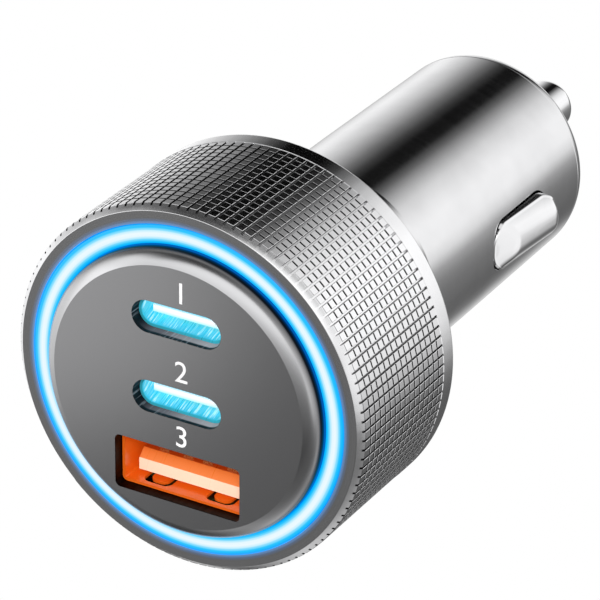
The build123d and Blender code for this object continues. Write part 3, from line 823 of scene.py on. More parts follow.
@dataclass
class MeshDraft:
    """Vertices and faces of a piece, in millimetres, before they become one mesh.

    Attributes:
        points: The vertices.
        faces: The faces, as numbers of vertices.
        slots: Number of the finish of each face.
        weld: Distance below which vertices become one, in metres.
    """

    points: list[Point3] = field(default_factory=list)
    faces: list[tuple[int, ...]] = field(default_factory=list)
    slots: list[int] = field(default_factory=list)
    weld: float = 1e-7

    def ring(self, points: Sequence[Point3]) -> list[int]:
        """Add points.

        Args:
            points: The points in order.

        Returns:
            Their numbers.
        """
        start = len(self.points)
        self.points += points
        return list(range(start, start + len(points)))

    def face(self, corners: Sequence[int], slot: int = 0) -> None:
        """Add one face of the finish with that number."""
        self.faces.append(tuple(corners))
        self.slots.append(slot)

    def bridge(self, first: Sequence[int], second: Sequence[int], slot: int = 0) -> None:
        """Join two closed rings by faces.

        Args:
            first: Numbers of the first ring, or of a single pole.
            second: Numbers of the second ring, or of a single pole.
            slot: Number of the finish.
        """
        count = max(len(first), len(second))
        for step in range(count):
            after = (step + 1) % count
            corners = [first[step % len(first)], first[after % len(first)],
                       second[after % len(second)], second[step % len(second)]]
            self.face(list(dict.fromkeys(corners)), slot)

    def lathe(self, outline: Sequence[Point2], segments: int, closed: bool = True) -> None:
        """Turn an outline about the plug's axis.

        Args:
            outline: Points as radius and place along the axis.
            segments: Steps in a full turn.
            closed: Whether the last point joins the first.
        """
        rings = []
        for radius, along in outline:
            steps = segments if radius > 0 else 1
            turns = [math.tau * step / segments for step in range(steps)]
            rings.append(self.ring([(radius * math.sin(t), along, radius * math.cos(t)) for t in turns]))
        for first, second in zip(rings, rings[1:] + rings[:1] if closed else rings[1:]):
            if len(first) > 1 or len(second) > 1:
                self.bridge(first, second)

    def piece(self, name: str, finishes: Sequence[bpy.types.Material], sharp: float = 35) -> bpy.types.Object:
        """Make the Blender object.

        Args:
            name: The piece's name.
            finishes: Its materials, by slot number.
            sharp: Angle in degrees from which an edge stays crisp.

        Returns:
            The object, linked to the scene.
        """
        mesh = bpy.data.meshes.new(name)
        mesh.from_pydata([tuple(MM * value for value in point) for point in self.points], [], self.faces)
        mesh.polygons.foreach_set("material_index", self.slots)
        joined = bmesh.new()
        joined.from_mesh(mesh)
        bmesh.ops.remove_doubles(joined, verts=joined.verts, dist=self.weld)
        bmesh.ops.recalc_face_normals(joined, faces=joined.faces)
        joined.to_mesh(mesh)
        joined.free()
        for finish in finishes:
            mesh.materials.append(finish)
        mesh.shade_smooth()
        mesh.set_sharp_from_angle(angle=math.radians(sharp))
        return new_object(name, mesh)


def place_piece(piece: bpy.types.Object, body: str, slot: str, *nodes: str) -> bpy.types.Object:
    """Tie a new piece to the frame.

    Args:
        piece: The piece, in place.
        body: The body that it rides on.
        slot: Not used.
        *nodes: The solids that it stands for.

    Returns:
        The same piece.
    """
    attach(piece, body)
    if nodes:
        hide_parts(*nodes)
    return piece


def dress_node(name: str, finish: bpy.types.Material) -> bpy.types.Object:
    """Give a solid of the frame its finish.

    Args:
        name: The node's name.
        finish: Its material.

    Returns:
        The node's object.
    """
    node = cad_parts[name]
    node.data.materials.clear()
    node.data.materials.append(finish)
    return node


@cache
def low(node: str) -> Vector:
    """Lowest corner of a solid in millimetres."""
    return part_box(node)[0] / MM


@cache
def high(node: str) -> Vector:
    """Highest corner of a solid in millimetres."""
    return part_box(node)[1] / MM


@dataclass
class FinishBook:
    """Every finish of the plug, by its name.

    Attributes:
        finishes: The finishes that are one surface.
        steel: Colours of the slim ports' steel from its mouth inwards: painted cyan reflection, paler deeper
            in.
        orange: Colours of the wide port's moulding from its front inwards: a paler front painted as lit, and
            painted shade deeper in.
        strip_depth: Distance from the plate's front to the painted light low in the slim windows, in
            millimetres.
        made: The materials made so far.
    """

    finishes: tuple[SurfaceFinish, ...] = (
        SurfaceFinish("head_metal", (0.88, 0.88, 0.89), (0.85, 0.85, 0.86), 1, (0.13, 0.19),
                      Grain.TURNED, 5, 0.0004),
        # Near-black finish of the head's grooves: painted shade, with a metal's gloss.
        SurfaceFinish("groove_painted_shade", (0.012, 0.012, 0.013), (0.02, 0.02, 0.021), 1, (0.3, 0.45),
                      Grain.TURNED, 5, 0.001),
        # Near-black finish of the wide window's walls: painted shade in the window.
        SurfaceFinish("window_wall_painted_shade", (0.003, 0.003, 0.004), (0.005, 0.005, 0.006), 1, (0.4, 0.55),
                      Grain.DRAWN, 3, 0.001),
        SurfaceFinish("frame_plastic", (0.02, 0.02, 0.022), (0.03, 0.03, 0.032), 0, (0.4, 0.55),
                      Grain.EVEN, 6, 0.004),
        SurfaceFinish("lamp", (0.75, 0.9, 1.0), (0.6, 0.85, 1.0), 0, (0.1, 0.2),
                      Grain.EVEN, 3, 0.001, glow=1.0),
        # The orange shell's glow is painted light; the shell is no lamp.
        SurfaceFinish("orange_shell", (0.72, 0.115, 0.006), (0.68, 0.1, 0.005), 0, (0.3, 0.4),
                      Grain.DRAWN, 3, 0.001, coat=0.3, glow=0.2),
        SurfaceFinish("contact_gold", (0.83, 0.6, 0.22), (0.75, 0.52, 0.18), 1, (0.2, 0.32),
                      Grain.DRAWN, 5, 0.001),
        SurfaceFinish("barrel_chrome", (0.8, 0.8, 0.81), (0.76, 0.76, 0.77), 1, (0.1, 0.15),
                      Grain.TURNED, 3, 0.0003),
        SurfaceFinish("contact_chrome", (0.9, 0.9, 0.91), (0.86, 0.86, 0.87), 1, (0.05, 0.09),
                      Grain.EVEN, 2, 0.0003),
        SurfaceFinish("spring_steel", (0.5, 0.5, 0.51), (0.42, 0.42, 0.43), 1, (0.25, 0.38),
                      Grain.EVEN, 4, 0.002),
        SurfaceFinish("nose_plastic", (0.025, 0.025, 0.027), (0.035, 0.035, 0.036), 0, (0.35, 0.5),
                      Grain.TURNED, 5, 0.003),
        SurfaceFinish("ferrite", (0.05, 0.05, 0.055), (0.075, 0.072, 0.07), 0, (0.55, 0.75),
                      Grain.EVEN, 6, 0.01),
        SurfaceFinish("can", (0.5, 0.5, 0.52), (0.44, 0.44, 0.46), 1, (0.25, 0.35),
                      Grain.DRAWN, 4, 0.001),
        SurfaceFinish("chip", (0.015, 0.015, 0.016), (0.022, 0.022, 0.023), 0, (0.5, 0.65),
                      Grain.EVEN, 8, 0.004),
        # The printed numbers' glow is painted light; they are no lamp.
        SurfaceFinish("mark_white", (0.86, 0.86, 0.86), (0.8, 0.8, 0.8), 0, (0.45, 0.6),
                      Grain.EVEN, 6, 0.001, glow=0.25),
    )
    # The cyan of the slim ports' steel is a painted reflection, paler deeper in.
    steel: tuple[Stop, ...] = (
        (0.0, (0.04, 0.42, 0.53)), (0.03, (0.05, 0.5, 0.64)), (0.4, (0.07, 0.62, 0.79)),
        (0.8, (0.3, 0.82, 0.9)), (1.0, (0.85, 0.98, 1.0)),
    )
    # Paler front painted as lit, darker deeper in as painted shade.
    orange: tuple[Stop, ...] = (
        (0.0, (1.0, 0.68, 0.5)), (0.06, (1.0, 0.66, 0.47)), (0.08, (0.75, 0.2, 0.05)),
        (0.78, (0.7, 0.16, 0.025)), (0.84, (0.42, 0.055, 0.004)), (1.0, (0.38, 0.045, 0.003)),
    )
    strip_depth: float = 0.32
    made: dict[str, bpy.types.Material] = field(default_factory=dict)

    def make(self) -> None:
        """Make the plain finishes and those with a pattern of their own."""
        for finish in (*self.finishes, *self._face_finishes(), *self._port_finishes(),
                       BoardFinish("circuit_board"), WireFinish("winding")):
            self.made[finish.name] = finish.material()

    @staticmethod
    def _face_finishes() -> tuple[RingGlow | BezelFinish | PlateFinish, ...]:
        """Choose the finishes of the face.

        Returns:
            Those of the lit ring, the bezel round it and the plate inside it.
        """
        ring, plate = high("light_ring").x, high("face_plate").x
        return (
            RingGlow("ring_diffuser", plate, ring),
            BezelFinish("bezel_metal", ring),
            PlateFinish("plate_metal", low("face_plate").y, low("light_ring").y, plate),
        )

    def _port_finishes(self) -> tuple[WindowFinish | TongueFinish | DepthFinish, ...]:
        """Choose the finishes of the ports.

        Returns:
            Those of the slim windows, the steel, the cyan mouldings and the orange moulding.
        """
        lower, upper = ((low(node).z + high(node).z) / 2
                        for node in ("lower_slim_insert", "upper_slim_insert"))
        return (
            # Slim windows: walls painted black as shade, with painted light low down and a painted glow.
            WindowFinish("slim_window", low("face_plate").y + self.strip_depth, high("upper_slim_shell").x),
            # The slim ports' steel: painted cyan reflection, painted glow and pale lines painted as sheen.
            DepthFinish("port_steel", low("upper_slim_shell").y, 4.0, self.steel, glow=0.35, metallic=0.6,
                        lines=0.9, lines_from=0.02),
            # The cyan mouldings: painted highlight and lit front, with a painted glow.
            TongueFinish("cyan_plastic", low("upper_slim_insert").y, (lower, upper)),
            # The wide port's moulding: painted light at its front, painted shade deeper in and a painted
            # glow.
            DepthFinish("orange_plastic", low("wide_insert").y, 1.0, self.orange, glow=0.25),
        )

    def __getitem__(self, name: str) -> bpy.types.Material:
        """Return the finish of that name."""
        return self.made[name]


class HeadSurface(IntEnum):
    """Surfaces of the head, as numbers of its finishes."""

    GRIP = 0
    BEZEL = 1
    # The grooves take a near-black finish: painted shade.
    GROOVE = 2


class HeadPoint(NamedTuple):
    """One point of the head's outline.

    Attributes:
        radius: Distance from the axis, before any groove.
        behind: Distance behind the bezel plane.
        ring_cut: Depth of a ring groove there.
        share: Share of a lengthwise groove's depth there.
    """

    radius: float
    behind: float
    ring_cut: float = 0.0
    share: float = 0.0


@dataclass
class KnurledHead:
    """The turned head with its grid of small pads, its bezel and its plain rear band, in millimetres.

    Attributes:
        columns: Pads round the head.
        rows: Rings of pads along it.
        pitch: Distance between two rings of pads.
        first_groove: Bezel plane to the first ring groove.
        column_depth: Depth of the lengthwise grooves.
        column_width: Width of the lengthwise grooves.
        column_floor: Half the width of their floor, as a share of their width.
        ring_depth: Depth of the ring grooves.
        ring_width: Width of the ring grooves.
        front_step: Step up to the pads behind the bezel's bevel.
        rear_step: Step up from the pads to the plain rear band, which has the head's full radius.
        front_ramp: Half the length of the front step, in widths of an edge.
        rear_ramp: Half the length of the rear step, in widths of an edge.
        edge: Width of the bevel along each ring groove.
        edge_drop: Depth of that bevel.
        side_edge: Width and depth of the bevel along each lengthwise groove.
        chamfer: Size of the bevel between bezel and grip.
        rim: Size of the fine edge between bezel and bevel.
        rim_cut: Share of the rim that its corner is cut by.
        rim_drop: How far the rim's end lies below the bevel's own line.
        rear_radius: Radius of the rear edge.
        rear_wall: Thickness of the rear wall.
        neck_bore: Radius of the hole in the rear wall.
        ring_gap: Gap round the lit ring.
        sharp: Angle in degrees from which an edge stays crisp.
    """

    columns: int = 120
    rows: int = 16
    pitch: float = 0.8645
    first_groove: float = 1.48
    column_depth: float = 0.22
    column_width: float = 0.22
    column_floor: float = 0.42
    ring_depth: float = 0.12
    ring_width: float = 0.19
    front_step: float = 0.05
    rear_step: float = 0.04
    front_ramp: float = 0.3
    rear_ramp: float = 1.5
    edge: float = 0.022
    edge_drop: float = 0.014
    side_edge: float = 0.025
    chamfer: float = 0.55
    rim: float = 0.05
    rim_cut: float = 0.3
    rim_drop: float = 0.02
    rear_radius: float = 0.5
    rear_wall: float = 1.8
    neck_bore: float = 13.0
    ring_gap: float = 0.05
    sharp: float = 12.0

    def build(self, book: FinishBook) -> bpy.types.Object:
        """Build the head and dress it.

        Args:
            book: The finishes.

        Returns:
            The piece.
        """
        draft = MeshDraft()
        columns, profile = self._columns(), self._profile()
        rings = [draft.ring(self._ring(point, columns)) for point in profile]
        section = len(columns) // self.columns
        for number, (first, second) in enumerate(zip(rings, rings[1:] + rings[:1])):
            start, end = profile[number], profile[(number + 1) % len(profile)]
            on_bezel = number in (0, len(profile) - 1)
            in_ring_groove = self.ring_depth in (start.ring_cut, end.ring_cut)
            knurled = start.share > 0 and end.share > 0
            for step in range(len(columns)):
                after, place = (step + 1) % len(columns), step % section
                # Faces down in the grooves take the near-black finish: painted shade in the grooves.
                in_groove = knurled and place in (1, 3) or in_ring_groove and place == section - 1
                surface = (HeadSurface.BEZEL if on_bezel else
                           HeadSurface.GROOVE if in_groove else HeadSurface.GRIP)
                draft.face((first[step], first[after], second[after], second[step]), surface)
        finishes = [book["head_metal"], book["bezel_metal"], book["groove_painted_shade"]]
        piece = draft.piece("knurled_head", finishes, sharp=self.sharp)
        return place_piece(piece, BODY, "head_metal", "head_sleeve")

    def _crown(self) -> float:
        """Radius of the pads."""
        return high("head_sleeve").x - self.rear_step

    def _ring(self, point: HeadPoint, columns: Sequence[Point2]) -> list[Point3]:
        """Points round the head at one point of its outline.

        Args:
            point: The outline's point.
            columns: Angles round the head with the depth of the lengthwise grooves there.

        Returns:
            The points.
        """
        along = low("head_sleeve").y + point.behind
        ring = []
        for turn, column_cut in columns:
            reach = point.radius
            if point.share or point.ring_cut:
                reach = min(reach, self._crown() - max(point.ring_cut, column_cut * point.share))
            ring.append((reach * math.sin(turn), along, reach * math.cos(turn)))
        return ring

    def _columns(self) -> list[Point2]:
        """Section of the lengthwise grooves round the head.

        Returns:
            Angles in radians, each with the depth of the grooves there.
        """
        radius = high("head_sleeve").x
        top, floor = self.column_width / 2, self.column_floor * self.column_width
        section = ((-top - self.side_edge, 0), (-top, self.side_edge), (-floor, self.column_depth),
                   (floor, self.column_depth), (top, self.side_edge), (top + self.side_edge, 0))
        return [(math.tau * column / self.columns + offset / radius, depth)
                for column in range(self.columns) for offset, depth in section]

    def _profile(self) -> list[HeadPoint]:
        """Outline of the head.

        Returns:
            The points from the bore over the bezel, the grip and the rear band back to the bore.
        """
        radius, length = high("head_sleeve").x, high("head_sleeve").y - low("head_sleeve").y
        bore, wall = high("light_ring").x + self.ring_gap, length - self.rear_wall
        crown, crest = self._crown(), self._crown() - self.chamfer
        front, cut = crown - self.front_step, self.rim_cut * self.rim
        runout = self.chamfer - self.column_depth
        first_step, last_step = (self.first_groove + row * self.pitch for row in (-1, self.rows - 1))
        front_ramp, rear_ramp = self.front_ramp * self.edge, self.rear_ramp * self.edge
        corner = (radius - self.rear_radius, length - self.rear_radius)
        return [
            HeadPoint(bore, 0),
            HeadPoint(crest - self.rim, 0),
            HeadPoint(crest - cut, cut),
            HeadPoint(crest + self.rim, self.rim + self.rim_drop),
            HeadPoint(crest + runout, runout, share=1),
            HeadPoint(front, self.chamfer - self.front_step, share=1),
            HeadPoint(front, first_step - front_ramp, share=1),
            HeadPoint(crown, first_step + front_ramp, share=1),
            *self._ring_grooves(crown),
            HeadPoint(crown, last_step - rear_ramp, share=1),
            HeadPoint(radius, last_step + rear_ramp),
            *(HeadPoint(*point) for point in arc(corner, self.rear_radius, 0, 90, 8)),
            HeadPoint(self.neck_bore, length),
            HeadPoint(self.neck_bore, wall),
            HeadPoint(bore, wall),
        ]

    def _ring_grooves(self, crown: float) -> list[HeadPoint]:
        """Outline of the ring grooves between the rows of pads.

        Args:
            crown: Radius of the pads.

        Returns:
            The points in order.
        """
        top = self.ring_width / 2
        section = ((-top - self.edge, 0), (-top, self.edge_drop), (0, self.ring_depth),
                   (top, self.edge_drop), (top + self.edge, 0))
        middles = [self.first_groove + row * self.pitch for row in range(self.rows - 1)]
        return [HeadPoint(crown, middle + offset, depth, 1)
                for middle in middles for offset, depth in section]


@dataclass
class LightRing:
    """The clear ring that glows round the face, in millimetres.

    Attributes:
        edge: Radius of its front edges.
        gap: Gap to the plate.
        segments: Steps round it.
    """

    edge: float = 0.25
    gap: float = 0.05
    segments: int = 192

    def build(self, book: FinishBook) -> bpy.types.Object:
        """Build the ring and dress it.

        Args:
            book: The finishes.

        Returns:
            The piece.
        """
        front, back = low("light_ring").y, high("light_ring").y
        outer, inner = high("light_ring").x, high("face_plate").x + self.gap
        outline = [(inner, back), *arc((inner + self.edge, front + self.edge), self.edge, 180, 270, 4),
                   *arc((outer - self.edge, front + self.edge), self.edge, 270, 360, 4), (outer, back)]
        draft = MeshDraft()
        draft.lathe(outline, self.segments)
        piece = draft.piece("glow_ring", [book["ring_diffuser"]])
        return place_piece(piece, BODY, "ring_diffuser", "light_ring")


class PlateSurface(IntEnum):
    """Surfaces of the plate, as numbers of its finishes."""

    FACE = 0
    WIDE_WINDOW = 1
    SLIM_WINDOW = 2


@dataclass
class FacePlate:
    """The raised disc with its rounded edge, three windows and a plain number over each port, in millimetres.

    Attributes:
        edge: Width and depth of the rounded edge.
        crease: Slope in degrees at which the rounded edge leaves the flat.
        wall: Thickness of the disc.
        skirt: Thickness of the skirt behind it.
        print_height: How far the printed numbers stand out.
        window_gap: Gap round each port's shell.
        window_bevel: Bevel of each window's edge.
        wide_corner: Corner radius of the wide port's window.
        slim_flat: Length of the straight end that keeps a slim window's corners apart, on each side.
        mark_size: Height of the number's letter body.
        mark_places: Middle of each number, across and up.
        segments: Steps round the disc.
        sharp: Angle in degrees from which an edge stays crisp.
    """

    edge: float = 1.25
    crease: float = 24.0
    wall: float = 1.3
    skirt: float = 1.2
    print_height: float = 0.012
    window_gap: float = 0.05
    window_bevel: float = 0.03
    wide_corner: float = 0.5
    slim_flat: float = 0.001
    mark_size: float = 2.9
    mark_places: tuple[Point2, ...] = ((0.5, 10.3), (0.5, 2.65), (0.5, -3.75))
    segments: int = 192
    sharp: float = 18.0

    def build(self, book: FinishBook) -> list[bpy.types.Object]:
        """Build the plate and its numbers.

        Args:
            book: The finishes.

        Returns:
            The plate and the numbers.
        """
        front, floor = (low("face_plate").y + depth for depth in (self.print_height, self.wall))
        back, radius = high("face_plate").y, high("face_plate").x
        flat, inner = radius - self.edge, radius - self.skirt
        draft = MeshDraft()
        outline = [*self._shoulder(flat, front), (radius, back), (inner, back), (inner, floor)]
        draft.lathe(outline, self.segments, closed=False)
        self._sheet(draft, flat, front, self.window_bevel)
        self._sheet(draft, inner, floor, 0)
        windows = self._windows(0)
        for window in windows:
            wider = self._grown(window, self.window_bevel)
            rings = [draft.ring([(x, y, z) for x, z in loop])
                     for loop, y in ((wider, front), (window, front + self.window_bevel), (window, floor))]
            surface = PlateSurface.WIDE_WINDOW if window is windows[-1] else PlateSurface.SLIM_WINDOW
            for first, second in zip(rings, rings[1:]):
                draft.bridge(first, second, surface)
        # The window walls take near-black finishes, painted shade; the slim ones also carry painted light low
        # down.
        finishes = [book["plate_metal"], book["window_wall_painted_shade"], book["slim_window"]]
        piece = draft.piece("raised_plate", finishes, sharp=self.sharp)
        place_piece(piece, BODY, "plate_metal", "face_plate")
        marks = [self._mark(str(number), place, book) for number, place in enumerate(self.mark_places, 1)]
        return [piece, *marks]

    def _shoulder(self, flat: float, front: float, steps: int = 16) -> list[Point2]:
        """Outline of the rounded edge, which leaves the flat at a crease and ends along the axis.

        Args:
            flat: Radius of the flat.
            front: Place of the flat along the axis.
            steps: Number of spans.

        Returns:
            Points as radius and place along the axis.
        """
        rise = self.edge * math.tan(math.radians(self.crease))
        outline = []
        for step in range(steps + 1):
            share = step / steps
            bend = 2 * share * (1 - share)
            outline.append((flat + self.edge * (bend + share**2), front + rise * bend + self.edge * share**2))
        return outline

    def _windows(self, grow: float) -> list[list[Point2]]:
        """Outlines of the three windows.

        Args:
            grow: How much wider they are on each side.

        Returns:
            The outlines, with the wide port's last.
        """
        loops = []
        for shell in ("upper_slim_shell", "lower_slim_shell", "wide_shell"):
            size = high(shell) - low(shell)
            width, height = size.x + 2 * self.window_gap, size.z + 2 * self.window_gap
            corner = self.wide_corner if shell == "wide_shell" else height / 2 - self.slim_flat
            centre = (high(shell) + low(shell)) / 2
            loop = rounded_loop(width, height, corner, (centre.x, centre.z), 12)
            loops.append(self._grown(loop, grow))
        return loops

    @staticmethod
    def _grown(loop: Sequence[Point2], grow: float) -> list[Point2]:
        """Move each point of a closed outline outwards.

        Args:
            loop: The outline, counter-clockwise.
            grow: The distance.

        Returns:
            The wider outline.
        """
        wider = []
        for before, point, after in zip(loop[-1:] + loop[:-1], loop, loop[1:] + loop[:1]):
            along = Vector((after[0] - before[0], after[1] - before[1])).normalized()
            wider.append((point[0] + grow * along.y, point[1] - grow * along.x))
        return wider

    def _sheet(self, draft: MeshDraft, radius: float, along: float, grow: float) -> None:
        """Add a flat disc with the windows left open.

        Args:
            draft: The draft that it goes into.
            radius: The disc's radius.
            along: Its place along the axis.
            grow: How much wider its windows are than the shells' own.
        """
        turns = [math.tau * step / self.segments for step in range(self.segments)]
        loops = [[(radius * math.sin(t), radius * math.cos(t)) for t in turns], *self._windows(grow)]
        points: list[Vector] = []
        rings = []
        for loop in loops:
            rings.append(list(range(len(points), len(points) + len(loop))))
            points += [Vector(point) for point in loop]
        edges = [(a, b) for ring in rings for a, b in zip(ring, ring[1:] + ring[:1])]
        only_inside, nearness = 1, 1e-6
        flat, _, faces, *_ = delaunay_2d_cdt(points, edges, [rings[0]], only_inside, nearness)
        numbers = draft.ring([(point.x, along, point.y) for point in flat])
        for corners in faces:
            middle = sum((flat[corner] for corner in corners), Vector((0, 0))) / len(corners)
            if not any(self._inside(middle, loop) for loop in loops[1:]):
                draft.face([numbers[corner] for corner in corners])

    @staticmethod
    def _inside(point: Vector, loop: Sequence[Point2]) -> bool:
        """Tell whether a point lies inside a closed outline, by the crossings of a line to its right.

        Args:
            point: The point, across and up.
            loop: The outline.

        Returns:
            Whether it lies inside.
        """
        crossings = 0
        for (x0, z0), (x1, z1) in zip(loop, [*loop[1:], loop[0]]):
            if (z0 > point.y) != (z1 > point.y):
                crossings += x0 + (point.y - z0) / (z1 - z0) * (x1 - x0) > point.x
        return crossings % 2 == 1

    def _mark(self, text: str, place: Point2, book: FinishBook) -> bpy.types.Object:
        """Print one plain number on the plate.

        Args:
            text: The number.
            place: Its middle, across and up.
            book: The finishes.

        Returns:
            The piece.
        """
        letters = bpy.data.curves.new(f"number_{text}", "FONT")
        letters.body = text
        letters.size = self.mark_size * MM
        letters.extrude = self.print_height * MM / 2
        letters.align_x, letters.align_y = "CENTER", "CENTER"
        holder = new_object("letters", letters)
        mesh = finished_mesh(holder)
        bpy.data.objects.remove(holder)
        centre = Vector((place[0], low("face_plate").y + self.print_height / 2, place[1])) * MM
        mesh.transform(Matrix.Translation(centre) @ Matrix.Rotation(math.pi / 2, 4, "X"))
        mesh.materials.clear()
        mesh.materials.append(book["mark_white"])
        return place_piece(new_object(f"number_{text}", mesh), BODY, "plate_metal")


@dataclass
class Barrel:
    """The chromed barrel: flange, tapered neck, stop shoulder, plain stretch, slots and end, in millimetres.

    Attributes:
        neck_radius: Radius of the neck where it leaves the head.
        stop_radius: Radius of the stop shoulder.
        stop_edge: Size of the bevel at the stop shoulder.
        radius: Radius of the plain stretch.
        plain_length: Length of the plain stretch.
        round_radius: Radius where the end begins to round.
        end_radius: Radius of the rounded end.
        end_start: Angle in degrees at which the rounded end begins.
        wall: Thickness of the wall.
        end_wall: Thickness of the end.
        hole_radius: Radius of the hole for the nose.
        flange: Thickness of the flange in the head.
        seam_depth: Depth of the fine seam before the rounded end.
        slot_centre: Place of the slots' middle.
        slot_length: Length of a slot.
        slot_width: Width of a slot.
        slot_corner: Corner radius of a slot.
        slot_reach: How far from the axis the slots are cut.
        segments: Steps round it.
        plain_steps: Steps along the plain stretch.
        tapered_steps: Steps from there to the seam.
        sharp: Angle in degrees from which an edge stays crisp.
        side_start: Stop shoulder to where the evened side begins.
        outward: Least share of a face's direction away from the axis that makes it part of the side.
    """

    neck_radius: float = 12.9
    stop_radius: float = 11.0
    stop_edge: float = 0.08
    radius: float = 10.6
    plain_length: float = 11.2
    round_radius: float = 10.45
    end_radius: float = 1.9
    end_start: float = 4.0
    wall: float = 1.0
    end_wall: float = 1.4
    hole_radius: float = 6.0
    flange: float = 1.5
    seam_depth: float = 0.05
    slot_centre: float = 17.4
    slot_length: float = 10.9
    slot_width: float = 5.3
    slot_corner: float = 2.3
    slot_reach: float = 12.6
    segments: int = 256
    plain_steps: int = 4
    tapered_steps: int = 14
    sharp: float = 30.0
    side_start: float = 0.5
    outward: float = 0.9

    def build(self, book: FinishBook) -> bpy.types.Object:
        """Build the barrel, cut its slots and dress it.

        Args:
            book: The finishes.

        Returns:
            The piece.
        """
        draft = MeshDraft()
        draft.lathe(self._outline(), self.segments)
        piece = draft.piece("chrome_barrel", [book["barrel_chrome"]])
        self._cut_slots(piece)
        piece.data.shade_smooth()
        piece.data.set_sharp_from_angle(angle=math.radians(self.sharp))
        self._even_normals(piece.data)
        return place_piece(piece, BODY, "barrel_chrome", "barrel_shell")

    def _outline(self) -> list[Point2]:
        """Section of the barrel.

        Returns:
            Points as radius and place along the axis.
        """
        face, end, flange_radius = low("barrel_shell").y, high("barrel_shell").y, high("barrel_shell").x
        rear_wall, head_back = face + self.flange, high("head_sleeve").y
        start = end - self.end_radius
        seam = start - 2 * self.seam_depth
        outer = [(flange_radius, rear_wall), (self.neck_radius, rear_wall), (self.neck_radius, head_back),
                 (self.stop_radius, -self.stop_edge), (self.stop_radius - self.stop_edge, 0),
                 (self.radius, 0)]
        for step in range(1, self.plain_steps + 1):
            outer.append((self.radius, self.plain_length * step / self.plain_steps))
        for step in range(1, self.tapered_steps + 1):
            share = step / self.tapered_steps
            outer.append((self.radius + (self.round_radius - self.radius) * share,
                          self.plain_length + (seam - self.plain_length) * share))
        outer += [(self.round_radius - self.seam_depth, seam + self.seam_depth), (self.round_radius, start)]
        outer += arc((self.round_radius - self.end_radius, start), self.end_radius, self.end_start, 90, 20)
        bore, inner_end, corner = self.radius - self.wall, end - self.end_wall, self.end_radius - self.wall
        outer += [(self.hole_radius, end), (self.hole_radius, inner_end)]
        inner = arc((bore - corner, inner_end - corner), corner, 90, 0, 8)
        return [*outer, *inner, (bore, face), (flange_radius, face)]

    def _cut_slots(self, piece: bpy.types.Object) -> None:
        """Cut one slot through each side of the barrel's wall.

        Args:
            piece: The barrel.
        """
        draft = MeshDraft()
        loop = rounded_loop(self.slot_length, self.slot_width, self.slot_corner, (self.slot_centre, 0), 16)
        rings = [draft.ring([(x, y, z) for y, z in loop]) for x in (-self.slot_reach, self.slot_reach)]
        draft.bridge(*rings)
        draft.face(rings[0])
        draft.face(rings[1])
        cutter = draft.piece("slot_cutter", [])
        cut = piece.modifiers.new("slots", "BOOLEAN")
        cut.object, cut.operation, cut.solver = cutter, "DIFFERENCE", "EXACT"
        apply_modifiers(piece)
        bpy.data.objects.remove(cutter)

    def _even_normals(self, mesh: bpy.types.Mesh) -> None:
        """Give the outside the normals of the turned form, so that the slots leave no mark in the gloss.

        Args:
            mesh: The barrel's mesh.
        """
        end = high("barrel_shell").y - self.end_radius
        slope = (self.radius - self.round_radius) / (end - self.plain_length)
        normals = [Vector(corner.vector) for corner in mesh.corner_normals]
        for polygon in mesh.polygons:
            middle = polygon.center / MM
            out = Vector((middle.x, 0, middle.z)).normalized()
            if not (self.side_start < middle.y < end and polygon.normal.dot(out) > self.outward):
                continue
            for loop in polygon.loop_indices:
                point = mesh.vertices[mesh.loops[loop].vertex_index].co
                lean = slope if point.y / MM > self.plain_length else 0
                normals[loop] = Vector((point.x, 0, point.z)).normalized() + Vector((0, lean, 0))
        mesh.normals_split_custom_set([normal.normalized() for normal in normals])


